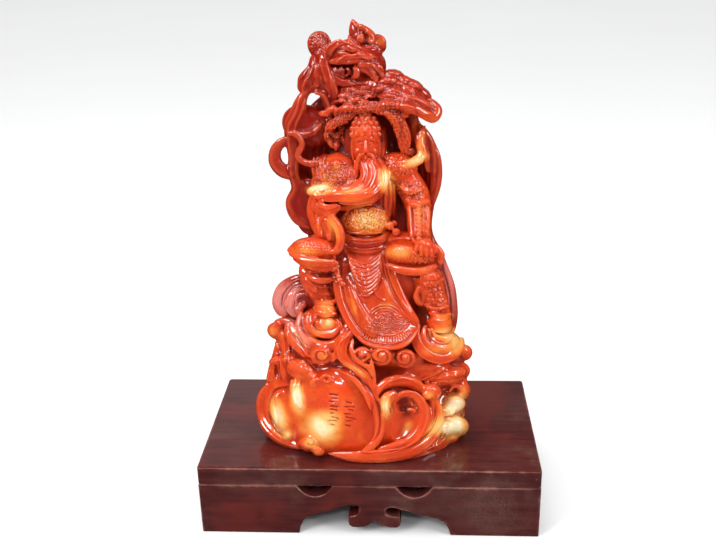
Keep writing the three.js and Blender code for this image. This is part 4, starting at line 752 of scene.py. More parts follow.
def pine():
    egg([10, 202.5, 3], [17, 7.5, 9], -12, 40, 26)
    egg([-3, 201, 3], [12, 6.5, 9], 8, 36, 24)
    places = []
    # the bough on the right, in drooping rows, and the one on the left
    for row in range(5):
        for i in range(5):
            x = 7 + 4.6 * i + 2.2 * (row % 2) + 0.6 * row
            u = 209.2 - 3 * row - 0.034 * (x - 10) ** 2 + 0.7 * math.sin(2.1 * i + row)
            f = 6 + 2.2 * row - 0.02 * (x - 12) ** 2
            if x < 27.5 - 1.4 * row:
                turn = -1.9 * (x - 10) + 9 * math.sin(i + 2 * row)
                places.append([x, u, f, 1.26 + 0.16 * math.sin(3 * i + 2 * row), turn])
    for row in range(5):
        for i in range(4 + row % 2):
            x = -12 + 4.6 * i - 2 * (row % 2)
            u = 206.6 - 2.6 * row - 0.04 * (x + 4) ** 2 + 0.9 * math.sin(1.7 * i + 2 * row)
            f = 6.6 + 2.1 * row - 0.03 * (x + 3) ** 2
            places.append([x, u, f, 0.84 + 0.2 * math.sin(2 * i + 3 * row), 14 * math.sin(2.3 * i + row)])
    # the crown seen from behind
    for i, (x, z) in enumerate([(4, 204), (14, 203), (22, 199), (-5, 201), (9, 197), (17, 195), (-9, 205), (1, 197)]):
        places.append([*seen([[x, z, -5]])[0], 1.5, 8 * (i % 3) - 8])
    copies(tuft_model(), places)
    # the rolled lobe at the right
    band([[13, 197.5, 15], [19, 196.6, 16], [25.4, 192.6, 15.8], [30, 190.6, 13], [31.6, 194, 10.6], [27, 199, 9]],
         [1.2, 2, 2.3, 2.3, 2.4, 2], thin=0.85)
    band([[14, 200, 14], [20, 199.4, 14.6], [26, 196.6, 13.6], [29.6, 195, 12]], [1, 1.7, 1.8, 1.2], thin=0.85)
    egg([25, 195.5, 8], [6, 3.6, 6], -25)
    # the branch that arches over the head, lumpy with bark, and the trunk behind it
    band([[-18, 184.6, 10], [-15, 188, 11.6], [-10, 190.6, 13], [-5, 194, 13.6], [2, 196, 14.6], [9, 194.6, 15],
          [14, 190, 14.4], [16.8, 183.6, 12], [17.6, 174, 8]], [1, 2.1, 2.5, 2.3, 2.4, 2.8, 3.1, 3.3, 3], thin=0.9)
    band([[4, 194, 16.4], [10, 193, 17], [13.6, 188.6, 16.4], [14.4, 182.6, 14.6]], [0.7, 1.3, 1.3, 0.7])
    for i in range(14):
        turn = 1.9 * i
        egg([-18 + 2.7 * i, 194 + 1.8 * math.cos(0.35 * (i - 6)) + 1.2 * math.sin(turn),
             12.6 + 0.7 * math.sin(1.3 * turn)], [2.6 + 0.5 * math.sin(turn), 1.5, 2.2], 30 * math.sin(turn), 16, 12)
    for i, (x, u) in enumerate([(-17.4, 183), (-15, 185), (-12.6, 183), (-15.6, 179.8), (-10.6, 186), (-13, 178.6),
                                (-10, 181)]):
        lean = 1.4 * math.sin(2.4 * i)
        band([[x - lean, u + 2.4, 5.4], [x, u, 6.8], [x + 0.6 * lean, u - 2.6, 6]],
             [0.7, 1.5 + 0.3 * math.sin(3 * i), 0.5])
    band([[20, 194, 6], [22, 184, 3], [24, 174, 1]], [3, 2.6, 2])


def dragon():
    egg([-5.5, 213.5, -2], [13.5, 11.5, 8], 0, 40, 28)
    egg([-17.5, 212, 0], [6.5, 10, 4.6])
    egg([0, 222.6, 1], [8.4, 5, 5.6])
    # the curled lump at the left, a ring about a hollow
    egg([-19, 223, 0], [5.2, 5.8, 5.4])
    curl([-19, 223.4, 3], 4, 3.6, -60, 400, [1, 1.5, 1.4], press=0.2)
    egg([-18.6, 222.6, 4], [2.4, 2.2, 1.6], 20, 18, 12)
    egg([-16.6, 217.6, 1.6], [6, 5.4, 6.4], 30)
    # the flame, with a ring of curls at its foot
    band([[0.6, 220, 3], [-1, 224, 3], [-3.4, 229, 2.6], [-4.6, 233.6, 2]], [5.6, 5, 3, 0.6], thin=0.8)
    band([[-3.6, 231, 4.4], [0.6, 229.4, 5.4], [3.8, 226.2, 6.6], [3, 222.4, 8]], [0.4, 1.2, 1.6, 1], thin=0.8)
    band([[-6.4, 227, 4.6], [-5, 223.4, 7], [-1.6, 221, 8.8], [2.4, 220.8, 9], [6.4, 221.6, 7.6]],
         [0.5, 1.4, 1.6, 1.5, 1], thin=0.85)
    curl([6, 223, 5.4], 2.9, 0.8, 130, -420, [1.4, 1.7, 1.2])
    egg([5.4, 222, 2.4], [4.4, 3.8, 4.4])
    egg([-1.4, 225, 6], [2, 2.2, 2.2])
    # brow, eye, muzzle and jaws, in one mass
    egg([-8.6, 218.4, 3], [8.6, 4.4, 6.8], -8, 36, 24)
    egg([2, 215, 4.4], [7.6, 5.6, 7.6], -10, 40, 26)
    egg([6.4, 213.4, 3], [3.2, 5.4, 5])
    band([[-15.8, 213.6, 6.4], [-15.6, 219.4, 8.4], [-11, 222.8, 9.8], [-4.6, 221.6, 10.4], [2, 219, 10.4],
          [8.6, 219.4, 5.6]], [1.2, 1.9, 2, 1.8, 1.6, 0.9], thin=0.9)
    egg([-8.2, 218.8, 10.4], [3.3, 1.2, 1.6], -16, 24, 14)
    band([[-15, 215.6, 9], [-10, 216, 11.2], [-4, 216.6, 12.2], [2, 217.4, 12], [6.6, 215.4, 9.6]],
         [1.1, 1.8, 2, 2, 1], thin=0.9)
    band([[-3, 214.6, 12], [2, 214.4, 12.6], [6.4, 211.8, 10.8], [8.4, 207.6, 8.8]], [1, 1.7, 1.7, 0.8], thin=0.9)
    band([[-2.6, 212.6, 11.6], [1.4, 211.4, 12.4], [4.6, 208.6, 11.8], [5.4, 206, 11.6]], [0.8, 1.5, 1.5, 0.6],
         thin=0.9)
    band([[-4, 213.6, 11.8], [-3.2, 210.4, 11.8], [-5.4, 208, 10.8]], [1.1, 1.6, 0.8])
    band([[-15, 213.6, 8], [-13.8, 209, 8.8], [-9.6, 206.4, 9.8], [-4, 206, 10.4]], [1.3, 1.8, 1.5, 0.8])
    for x, u in ((-13, 213.4), (-10.4, 213.6), (-7.6, 213.4)):
        band([[x, u, 8], [x + 1.2, u - 2, 9], [x - 0.2, u - 4.4, 8.4]], [0.9, 1, 0.4])
    curl([-9.4, 209.6, 8.8], 1.9, 0.6, 60, 360, [0.6, 0.7, 0.5])
    # the mane that runs down to the left in a fan
    band([[-18, 220, 6.6], [-17, 213, 8.4], [-14.8, 206.6, 9.4], [-13, 199, 9.4]], [2, 2.8, 2.8, 1.5], thin=0.85)
    band([[-21, 219, 4.4], [-21.8, 212.4, 6], [-25, 207.4, 6], [-27.2, 202, 5]], [2, 3.4, 4.4, 2.6], thin=0.6)
    band([[-20, 215, 7.4], [-19.6, 209.4, 8.4], [-21.6, 204.6, 7.6]], [1.2, 2.2, 1.2])
    # the back of the head
    curl(seen([[-6, 214, -10.5]])[0], 7, 1.5, 90, 480, [2, 2.4, 1.4], back=True)
    band(seen([[2, 222, -4], [5, 214, -5], [2, 206, -6]]), [2, 3, 2], flutes=3, back=True)


# Fine carving. Each cut says how far the skin rises at places on the drawing.
def relief(thing, *cuts):
    """Cuts into the skin where it faces the front."""
    p, n = corners(thing), normals(thing)
    facing = ramp(-n[:, 1], 0.05, 0.3)
    front = np.nonzero(facing > 0)[0]
    drawn = to_drawing(p[front])
    rise = sum(cut(*drawn.T) for cut in cuts)
    p[front] += n[front] * (rise * facing[front])[:, None]
    put_corners(thing, p)


def relief_behind(thing, upright, radius, *cuts):
    """Cuts into the sides and back, drawn along the way round an upright line and up it."""
    p, n = corners(thing), normals(thing)
    facing = ramp(n[:, 1], -0.12, 0.4) * ramp(p[:, 1], -3, 8)
    behind = np.nonzero(facing > 0)[0]
    way = radius * np.arctan2(p[behind, 0] - upright[0], p[behind, 1] - upright[1])
    up = p[behind, 2]
    way, up = way + 2.2 * np.sin(up / 9), up + 2 * np.sin(way / 12)
    rise = sum(cut(way, up, 0) for cut in cuts)
    p[behind] += n[behind] * (rise * facing[behind])[:, None]
    put_corners(thing, p)


def boulder_strokes(x, u, f):
    """Two columns of short level strokes on the boulder, which aren't writing."""
    depth = np.zeros(len(x))
    for column, (middle, first, count, reach) in enumerate(((-18.6, 51, 9, 1.7), (-10.6, 46.5, 7, 2.1))):
        for row in range(count):
            turn = 2.3 * row + 4.1 * column
            at_x = middle + 0.9 * math.sin(turn) - 0.1 * row
            at_u = first - 2.2 * row + 0.3 * math.sin(1.7 * turn)
            long = reach * (0.75 + 0.35 * math.cos(1.9 * turn))
            lean = -0.16 + 0.14 * math.sin(1.3 * turn)
            off = np.maximum(np.abs(x - at_x) - long, 0)
            away = np.hypot(off, u - at_u - lean * (x - at_x))
            much = 0.7 + 0.3 * math.sin(2.7 * turn)
            depth = np.maximum(depth, much * np.clip(1 - away / 0.8, 0, 1))
    return -1.3 * depth**0.8 * (f > 20)


def scales(at, half, turn, pitch, height):
    """Rows of small domes, set like bricks."""
    def cut(x, u, f):
        across, up = turned(x, u, turn)
        across, up = across / pitch, up / (pitch * 0.86)
        row = np.floor(up)
        column = across + 0.5 * (row % 2)
        away = np.hypot(column - np.floor(column) - 0.5, up - row - 0.5)
        return height * (np.clip(1 - (away / 0.55) ** 2, 0, 1) - 0.3) * inside(x, u, at, half, turn)

    return cut


def rings(at, first, last, pitch, height, where):
    """Rings about a place, kept inside an ellipse."""
    def cut(x, u, f):
        reach = np.hypot(x - at[0], u - at[1])
        band_of_rings = ramp(last - reach, 0, 0.8) * np.clip((reach - first) / 0.4 + 1, 0, 1)
        wave = np.cos(2 * math.pi * reach / pitch)
        return height * wave * band_of_rings * inside(x, u, *where)

    return cut


def wave_rows(at, half, turn, pitch, height):
    """Rows of overlapping round scales, each with rings in it."""
    rise_of_row = 0.26

    def cut(x, u, f):
        across, up = turned(x, u, turn)
        across, up = across / pitch, up / (pitch * rise_of_row)
        reach = np.full(len(x), 9.0)
        for below in (0, 1):
            row = np.floor(up) - below
            shift = 0.5 * (row % 2)
            dx = across - shift - np.round(across - shift)
            away = np.hypot(dx, (up - row) * rise_of_row) / 0.52
            reach = np.where(away < 1, away, reach)
        wave = np.where(reach < 1, np.cos(6 * math.pi * reach), 0)
        return height * wave * inside(x, u, at, half, turn)

    return cut


def rays(at, first, last, count, height, start, end):
    """Short rays about a place, from one angle to another."""
    def cut(x, u, f):
        reach, angle = np.hypot(x - at[0], u - at[1]), np.degrees(np.arctan2(u - at[1], x - at[0]))
        there = ramp(last - reach, 0, 0.6) * ramp(reach, first, 0.6)
        there *= ramp(angle, start, 6) * ramp(end - angle, 0, 6)
        return height * np.cos(np.radians(angle) * count) * there

    return cut


def ornament(at, half, turn, pitch, height):
    """Uneven rows of small spirals."""
    between = 1.25  # from one turn of a spiral to the next

    def cut(x, u, f):
        bent_x = x + 0.22 * pitch * np.sin(2.1 * u / pitch + 1)
        bent_u = u + 0.22 * pitch * np.sin(2.3 * x / pitch)
        across, up = turned(bent_x, bent_u, turn)
        across, up = across / pitch, up / (pitch * 0.8)
        row = np.floor(up)
        column = across + 0.5 * (row % 2) + 0.13 * np.sin(3.1 * row)
        cell = np.floor(column)
        dx, du = (column - cell - 0.5) * pitch, (up - row - 0.5 + 0.16 * np.sin(5 * cell + 2 * row)) * pitch * 0.8
        reach = np.hypot(dx, du)
        hand = np.where((cell + row) % 2 > 0.5, 1, -1)
        wave = np.cos(2 * math.pi * reach / between + hand * np.arctan2(du, dx) + 1.7 * cell)
        return height * (0.75 * wave + 0.5 - 0.9 * (reach / pitch) * 2) * inside(x, u, at, half, turn, 0.2)

    return cut


def stroke(places, wide, height, lip=0.0):
    """A ridge along a line, or a groove where height is below 0. It falls away slowly on its left by lip."""
    share = np.linspace(0, 1, 7 * len(places))
    path = curve_through([(x, u, 0) for x, u in places], share)[:, :2]
    reach = 3 * max(wide, lip)
    low, high = path.min(0) - reach, path.max(0) + reach

    def cut(x, u, f):
        rise = np.zeros(len(x))
        near = np.nonzero((x > low[0]) & (x < high[0]) & (u > low[1]) & (u < high[1]))[0]
        px, pu = x[near], u[near]
        best, side, part = np.full(len(near), 1e9), np.ones(len(near)), np.zeros(len(near))
        for i, (a, b) in enumerate(zip(path[:-1], path[1:])):
            way = b - a
            s = np.clip(((px - a[0]) * way[0] + (pu - a[1]) * way[1]) / max(way @ way, 1e-6), 0, 1)
            dx, du = px - a[0] - s * way[0], pu - a[1] - s * way[1]
            away = dx * dx + du * du
            closer = away < best
            best = np.where(closer, away, best)
            side = np.where(closer, np.sign(way[0] * du - way[1] * dx), side)
            part = np.where(closer, share[i] + s * (share[1] - share[0]), part)
        away = np.sqrt(best)
        profile = np.exp(-(away / wide) ** 2)
        if lip:
            profile = np.where(side > 0, np.exp(-away / lip), profile)
        rise[near] = height * profile * np.clip(np.minimum(part, 1 - part) / 0.14, 0, 1)
        return rise

    return cut


def coil(at, outer, inner, start, sweep, flat=1.0):
    """The line of a spiral, for a stroke."""
    turns = np.radians(start + sweep * np.linspace(0, 1, max(5, round(abs(sweep) / 35))))
    reach = np.linspace(outer, inner, len(turns))
    return [(at[0] + r * math.cos(a), at[1] + flat * r * math.sin(a)) for r, a in zip(reach, turns)]


def strokes(lines, wide, height, lip=0.0):
    return [stroke(line, wide, height, lip) for line in lines]


def crumble(at, half, turn, fine, height):
    """A granular, picked surface."""
    def cut(x, u, f):
        a = np.sin(fine * x + 1.7 * np.sin(0.7 * fine * u)) * np.sin(fine * u + 1.3 * np.sin(0.9 * fine * x + 2))
        b = np.sin(1.9 * fine * x + 1.1 * u) * np.sin(1.7 * fine * u - 0.9 * x + 0.8 * f)
        return height * (0.65 * a + 0.35 * b) * inside(x, u, at, half, turn, 0.25)

    return cut


def dent(at, half, turn, depth):
    """A smooth hollow."""
    def cut(x, u, f):
        across, up = turned(x - at[0], u - at[1], turn)
        return -depth * np.clip(1 - (across / half[0]) ** 2 - (up / half[1]) ** 2, 0, 1) ** 1.5

    return cut


def stripes(at, half, turn, pitch, height):
    """Even pleats."""
    def cut(x, u, f):
        across, _ = turned(x, u, turn)
        return height * np.cos(2 * math.pi * across / pitch) * inside(x, u, at, half, turn, 0.3)

    return cut


# How the stone is coloured: cream clouds in it, deep red in places, and painted shade in its hollows and in
# shadowed recesses. Each patch has its place across and up the drawing, its half widths, its turn in degrees and
# its strength; a painted shade patch only the first four.
# Painted highlights: the streaks at (18, 32) and (30, 31), the fingers at (-37, 50) and the boss at (-13, 168.5) are
# partly cream and partly painted highlight where glints fall.
CREAM_AND_PAINTED_GLINTS = [
    (-26, 31, 9, 7, -25, 0.85), (-20, 37, 6, 5, 0, 0.6), (-47, 39, 4, 9, 8, 0.95), (42, 46.4, 5.6, 5.2, 0, 1),
    (43, 33, 6, 5.6, 0, 1), (40, 39, 5, 4, 0, 0.45), (35.6, 31, 3.6, 5, 30, 0.65), (36, 93, 5, 4, 0, 0.3),
    (36, 85, 6, 3, 0, 0.7), (35, 76, 8, 3, 0, 0.4), (43, 81, 4, 5, 0, 0.7), (-22, 158.4, 5, 2, 5, 1),
    (9, 163, 3, 5, 0, 0.85),
    (-6, 157.4, 7, 0.8, 6, 0.55), (22, 171, 6, 2.2, 20, 0.85), (7.4, 44, 2.6, 6, 0, 0.9), (-37, 50, 3, 8, 0, 1),
    (-16, 140, 2, 7, 20, 0.5), (-20, 90.6, 2.6, 2.6, 0, 0.85), (-26, 84, 4, 4, -30, 0.4), (-21, 99, 4, 4, 0, 0.5),
    (-34, 82, 2.6, 7, 30, 0.5), (-32, 22, 3.2, 2.6, 0, 0.45), (-43, 27, 2.6, 2.6, 0, 0.7), (-28, 17, 2, 2, 0, 0.3),
    (-48, 86, 3, 3, 0, 0.4), (29, 51, 3, 2.6, 0, 0.6), (24.6, 179, 1.6, 6, -10, 0.5), (7, 224, 2, 2, 0, 0.35),
    (-8, 66, 7, 1.6, -35, 0.5), (-13, 168.5, 2.6, 2.4, 0, 0.4), (-30, 128, 6, 2.6, 0, 0.5), (15, 127, 6, 3, 0, 0.5),
    (18, 32, 2, 5, -30, 0.7), (30, 31, 2, 7, -25, 0.55), (-7, 99, 1.2, 9, 12, 0.4), (0, 143, 9, 6.4, 0, 0.7),
    (24, 146, 3, 6, 0, 0.4), (26, 118, 4, 3, 0, 0.4), (46, 55, 2, 3, 0, 0.4), (-23, 73, 3, 3, 0, 0.4),
    (5.6, 73, 3, 3, 0, 0.3), (14, 157, 5, 5, 0, 0.35), (-17, 163, 5, 4, 0, 0.25), (8, 100, 5, 3, 0, 0.35),
]
# Painted shade: these patches darken deep recesses beside the head, arm, legs, dragon and inside the cloak, where shade
# falls.
PAINTED_SHADE_PATCHES = [(11.5, 184, 4.5, 8), (-12.5, 183, 6, 5), (11, 145, 3, 8), (20, 103, 3.4, 8), (18.5, 191, 3, 4),
        (-9, 210.6, 5, 4.4), (-14, 199, 2, 5), (-14, 133, 2.4, 3.4), (9, 191, 3, 3), (12, 116, 3, 4), (-8, 176, 3, 4),
        (-22, 178, 5, 8)]
RED = [(-15, 165, 8, 6, 0, 0.4), (2, 105, 13, 22, 10, 0.35), (-2, 131, 9, 4, 0, 0.5), (19, 65, 13, 5, 0, 0.4),
       (17, 45, 5, 6, 0, 0.5), (12, 31, 8, 8, 0, 0.3), (-26, 67, 9, 6, 0, 0.25), (-22, 110, 7, 9, 0, 0.25),
       (8, 153, 4, 9, 0, 0.5), (-32, 86, 5, 9, 30, 0.2)]
ROSE = [(-40, 103, 8, 9, 30, 1), (37, 112, 3.5, 16, 10, 0.9), (-34, 84, 5, 9, 30, 0.7), (-35, 48, 5, 10, 0, 0.5),
        (-48, 30, 6, 6, 0, 0.4), (16, 186, 3, 8, 0, 0.2)]
PAINTED_SHADE_SPREAD = 1.3
PATCH_SPREAD = 2.2


def tint(thing, deep):
    """Keeps cream (in a few patches painted highlight), deep red, hollow (for painted shade) and rose at each corner,
    for the finish to read.
    """
    p, n = corners(thing), normals(thing)
    x, u, f = to_drawing(p).T
    fine, near, wide = (smoothed(thing, rounds) for rounds in (2, 8, 53))
    # Painted shade: corners deep in creases and clefts, measured at three scales, are darkened by the finish as if in
    # shade; ridges, where the value is low, are lightened.
    hollow = 0.5 + 0.6 * ((wide - p) * n).sum(1) + 0.9 * ((near - p) * n).sum(1) + 0.9 * ((fine - p) * n).sum(1)
    faces_front = (f < 12) * np.clip(0.5 - 2 * n[:, 1], 0, 1)
    # Painted shade: the listed shadowed recesses count as deep hollows where they face the front behind the figure.
    for at_x, at_u, wide_x, wide_u in PAINTED_SHADE_PATCHES:
        half = (PAINTED_SHADE_SPREAD * wide_x, PAINTED_SHADE_SPREAD * wide_u)
        hollow += 0.7 * inside(x, u, (at_x, at_u), half, 0, 0.6) * faces_front
    hollow = np.clip(hollow, 0, 1)

    def patches(places):
        level = np.zeros(len(p))
        for at_x, at_u, wide_x, wide_u, turn, much in places:
            half = (PATCH_SPREAD * wide_x, PATCH_SPREAD * wide_u)
            reach = inside(x, u, (at_x, at_u), half, turn, 1)
            level = 1 - (1 - level) * (1 - much * reach * reach * (3 - 2 * reach))
        return level * ramp(f, -16, 20)

    red = deep + ramp(u, 184, 16) * 0.36 - ramp(70 - u, 0, 40) * 0.25 + patches(RED)
    rose = patches(ROSE) * np.where(x > 0, ramp(15 - f, 0, 5), 1)
    kept = np.column_stack([patches(CREAM_AND_PAINTED_GLINTS), np.clip(red, 0, 1), hollow, rose])
    layer = thing.data.color_attributes.new(name="tone", type="FLOAT_COLOR", domain="POINT")
    layer.data.foreach_set("color", kept.astype(np.float32).ravel())


# Finishes
class Wire:
    """What one socket of a finish gives. Arithmetic on it adds Math nodes."""

    def __init__(self, finish, socket):
        self.finish = finish
        self.socket = socket

    def _math(self, operation, a, b):
        return self.finish.node("ShaderNodeMath", {"operation": operation}, {0: a, 1: b})

    def __add__(self, other):
        return self._math("ADD", self, other)

    def __sub__(self, other):
        return self._math("SUBTRACT", self, other)

    def __rsub__(self, other):
        return self._math("SUBTRACT", other, self)

    def __mul__(self, other):
        return self._math("MULTIPLY", self, other)

    __radd__ = __add__
    __rmul__ = __mul__

    def twin(self, name):
        """Another output of the same node."""
        return Wire(self.finish, self.socket.node.outputs[name])


class Finish:
    """A procedural material, wired up step by step."""

    def __init__(self, name, **constants):
        self.material = bpy.data.materials.new(name)
        self.material.use_nodes = True
        self.tree = self.material.node_tree
        self.shader = self.tree.nodes["Principled BSDF"]
        for key, value in constants.items():
            self.shader.inputs[key.replace("_", " ")].default_value = value

    def node(self, kind, settings=None, sockets=None, give=0):
        made = self.tree.nodes.new(kind)
        for key, value in (settings or {}).items():
            setattr(made, key, value)
        for key, value in (sockets or {}).items():
            self.feed(made.inputs[key], value)
        return Wire(self, made.outputs[give])

    def feed(self, socket, value):
        if isinstance(value, Wire):
            self.tree.links.new(value.socket, socket)
        else:
            socket.default_value = value

    def set(self, **wires):
        for key, value in wires.items():
            self.feed(self.shader.inputs[key.replace("_", " ")], value)

    def place(self, stretch=(1, 1, 1)):
        point = self.node("ShaderNodeTexCoord", give="Object")
        return self.node("ShaderNodeMapping", {}, {"Vector": point, "Scale": stretch})

    def noise(self, point, scale, detail, rough, twist=0.0):
        return self.node("ShaderNodeTexNoise", {}, {"Vector": point, "Scale": scale, "Detail": detail,
                                                    "Roughness": rough, "Distortion": twist}, "Fac")

    def mix(self, share, a, b):
        return self.node("ShaderNodeMix", {"data_type": "RGBA"}, {0: share, 6: a, 7: b}, 2)

    def step(self, value, low, high, a=0.0, b=1.0):
        return self.node("ShaderNodeMapRange", {"interpolation_type": "SMOOTHSTEP"},
                         {0: value, 1: low, 2: high, 3: a, 4: b})

    def bump(self, height, strength, distance):
        self.set(Normal=self.node("ShaderNodeBump", {}, {"Strength": strength, "Distance": distance, "Height": height}))


def stone_finish():
    """Polished, slightly translucent resin in the colours of red soapstone, with painted shade in its hollows and
    painted highlights on its ridges.
    """
    stone = Finish("polished_red_stone", IOR=1.5, Specular_IOR_Level=0.3, Subsurface_Weight=0.14,
                   Subsurface_Radius=(1.0, 0.22, 0.08), Subsurface_Scale=0.0014, Coat_Weight=1.0,
                   Coat_Roughness=0.04, Coat_IOR=1.75)
    point = stone.place()
    tone = stone.node("ShaderNodeAttribute", {"attribute_name": "tone"}, give="Color")
    cream_and_glint = stone.node("ShaderNodeSeparateColor", {}, {"Color": tone}, "Red")
    deep, hollow, rose = cream_and_glint.twin("Green"), cream_and_glint.twin("Blue"), tone.twin("Alpha")
    cloud = stone.noise(point, 55.0, 4.0, 0.55, 0.6)
    mottle = stone.noise(point, 230.0, 5.0, 0.6, 0.3)
    grain = stone.noise(point, 1500.0, 2.0, 0.5)
    red_share = stone.step(deep + (cloud - 0.5) * 0.9 + (mottle - 0.5) * 0.35, 0.15, 0.95)
    colour = stone.mix(red_share, (0.66, 0.052, 0.008, 1), (0.29, 0.0090, 0.0035, 1))
    amber = stone.step(stone.noise(point, 95.0, 3.0, 0.6, 0.8), 0.48, 0.72) * (1 - stone.step(deep, 0.3, 0.8))
    colour = stone.mix(amber * 0.55, colour, (0.80, 0.135, 0.016, 1))
    # Cream clouds in the stone; a few cream patches are partly painted highlights.
    cream_and_glint_share = cream_and_glint + (cloud - 0.5) * 0.7 + (mottle - 0.5) * 0.2
    colour = stone.mix(stone.step(cream_and_glint_share, 0.15, 0.5), colour, (0.84, 0.19, 0.022, 1))
    colour = stone.mix(stone.step(cream_and_glint_share, 0.35, 0.8), colour, (0.92, 0.52, 0.15, 1))
    colour = stone.mix(stone.step(cream_and_glint_share, 0.65, 1.0), colour, (0.98, 0.88, 0.54, 1))
    rose_share = stone.step(rose + (mottle - 0.5) * 0.4, 0.3, 0.9)
    colour = stone.mix(rose_share * 0.75, colour, (0.78, 0.27, 0.24, 1))
    # Painted shade: hollows and shadowed recesses darken to deep red, or to orange where cream is.
    hollow_shade_colour = stone.mix(stone.step(cream_and_glint_share, 0.3, 0.9), (0.26, 0.0100, 0.0028, 1), (0.78, 0.20, 0.025, 1))
    colour = stone.mix(stone.step(hollow, 0.54, 0.94, 0.0, 0.92), colour, hollow_shade_colour)
    # Lighter on ridges: partly the stone's worn ridges, partly painted highlight along them.
    colour = stone.mix(stone.step(hollow, 0.45, 0.05, 0.0, 0.34), colour, (0.83, 0.14, 0.048, 1))
    stone.set(Base_Color=colour, Roughness=0.22 + hollow * 0.14 + (mottle - 0.5) * 0.12)
    stone.bump(mottle * 0.6 + grain * 0.4, 0.06, 0.0003)
    return stone.material


def lacquer_finish(name, grain_along):
    """Dark red-brown lacquer over wood, rubbed pale along its edges, with dull stains and specks of dust."""
    lacquer = Finish(name, IOR=1.5, Coat_Weight=0.7, Coat_Roughness=0.1, Coat_IOR=1.5)
    stretch = [1.0 if axis == grain_along else 14.0 for axis in "XYZ"]
    fibre = lacquer.noise(lacquer.place(stretch), 34.0, 6.0, 0.62, 0.4)
    point = lacquer.place()
    cloud = lacquer.noise(point, 26.0, 4.0, 0.6)
    stain = lacquer.noise(point, 23.0, 3.0, 0.6)
    rub = lacquer.noise(point, 190.0, 5.0, 0.7)
    grit = lacquer.noise(point, 1300.0, 4.0, 0.8)
    speck = lacquer.node("ShaderNodeTexVoronoi", {"feature": "F1"}, {"Vector": point, "Scale": 260.0}, "Distance")
    wear = lacquer.node("ShaderNodeAttribute", {"attribute_name": "wear"}, give="Fac")
    colour = lacquer.mix(lacquer.step(fibre, 0.3, 0.75), (0.050, 0.0056, 0.0052, 1), (0.094, 0.0145, 0.0125, 1))
    colour = lacquer.mix(lacquer.step(cloud, 0.45, 0.75, 0.0, 0.35), colour, (0.125, 0.046, 0.038, 1))
    colour = lacquer.mix(lacquer.step(stain, 0.50, 0.36, 0.0, 0.55), colour, (0.150, 0.014, 0.009, 1))
    dull = lacquer.step(stain + (rub - 0.5) * 0.3, 0.54, 0.70) * lacquer.step(grit, 0.42, 0.60)
    colour = lacquer.mix(dull * 0.42, colour, (0.170, 0.090, 0.060, 1))
    edge = lacquer.step(wear + (rub - 0.5) * 1.1 + (cloud - 0.5) * 1.6, 0.62, 1.2)
    colour = lacquer.mix(edge * 0.6, colour, (0.36, 0.12, 0.08, 1))
    dust = lacquer.step(speck, 0.075, 0.04) * lacquer.step(rub, 0.5, 0.62)
    colour = lacquer.mix(dust * 0.5, colour, (0.45, 0.38, 0.34, 1))
    lacquer.set(Base_Color=colour, Roughness=0.30 + cloud * 0.14 + edge * 0.2 + dust * 0.3 + dull * 0.15)
    lacquer.bump(fibre * 0.5 + rub * 0.3 - edge * 0.4, 0.10, 0.0003)
    return lacquer.material


def paper_finish():
    paper = Finish("pale_paper", Roughness=0.65, IOR=1.4)
    cloud = paper.noise(paper.place(), 3.0, 3.0, 0.5)
    paper.set(Base_Color=paper.mix(cloud, (0.83, 0.83, 0.835, 1), (0.87, 0.87, 0.87, 1)))
    return paper.material


# Making the pieces
stone = stone_finish()
carved = []


def carve(name, forms, grain, rounds, fill, cuts=(), deep=0.2, flat=False, back=None, behind=(), *, most):
    """Makes a piece of the statue, of at most so many triangles."""
    for form in forms:
        form()
    thing = gather()
    thing.name = thing.data.name = name
    melt(thing, grain, rounds, fill)
    if cuts:
        relief(thing, *cuts)
    if behind:
        relief_behind(thing, *behind)
    if flat:
        cut_off(thing, (0, 0, GROUND), (0, 0, -1))
    if back is not None:
        cut_off(thing, (0, back, 0), (0, 1, 0))
    tint(thing, deep)
    count = sum(len(face.vertices) - 2 for face in thing.data.polygons)
    if count > most:
        apply(thing, "DECIMATE", ratio=most / count)
    carved.append(thing)


def lay_on(thing, finish):
    thing.data.materials.clear()
    thing.data.materials.append(finish)


# A map of how far forward the carving comes, in cells over the drawing
MAP_CORNER = np.array([-75.0, 0.0])
MAP_CELLS = (300, 490)
MAP_CELL = 0.5
MAP_BACK = -12.0


def finish_stone():
    """Paints shade on what lies deep behind the front of the carving, sets the pieces to their true size and polishes
    them.
    """
    def cells(drawn):
        return tuple(((drawn[:, :2] - MAP_CORNER) / MAP_CELL).astype(int).T)

    height = np.full(MAP_CELLS, MAP_BACK)
    for thing in carved:
        drawn = to_drawing(corners(thing))
        np.maximum.at(height, cells(drawn), drawn[:, 2])
    for step in (1, -1, 1, -1):
        height = np.maximum(height, np.maximum(np.roll(height, step, 0), np.roll(height, step, 1)))
    around = []
    for rounds in (60, 300):
        blurred = height
        for _ in range(rounds):
            beside = (np.roll(blurred, step, axis) for axis in (0, 1) for step in (1, -1))
            blurred = sum(beside, 2 * blurred) / 6
        around.append(blurred)
    for thing in carved:
        p, n = corners(thing), normals(thing)
        drawn = to_drawing(p)
        near, wide = (blurred[cells(drawn)] - drawn[:, 2] for blurred in around)
        # Painted shade: corners far behind the front of the carving around them are darkened, as if little light
        # reached them.
        painted_depth_shade = 0.045 * np.clip(near - 1.2, 0, 8) + 0.028 * np.clip(wide - 2.4, 0, 12)
        layer = thing.data.color_attributes["tone"]
        tone = np.empty(len(p) * 4, np.float32)
        layer.data.foreach_get("color", tone)
        tone[2::4] = np.clip(tone[2::4] + painted_depth_shade * np.clip(0.6 - n[:, 1], 0, 1), 0, 1)
        layer.data.foreach_set("color", tone)
        put_corners(thing, p * METRES)
        pick(thing)
        bpy.ops.object.shade_smooth()
        lay_on(thing, stone)
        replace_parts(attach(thing, "root"), "statue")


SHARP = math.radians(25)
ROUNDING = 0.0005
LONGEST_EDGE = 0.0032
WORN_WIDTH = 0.0018


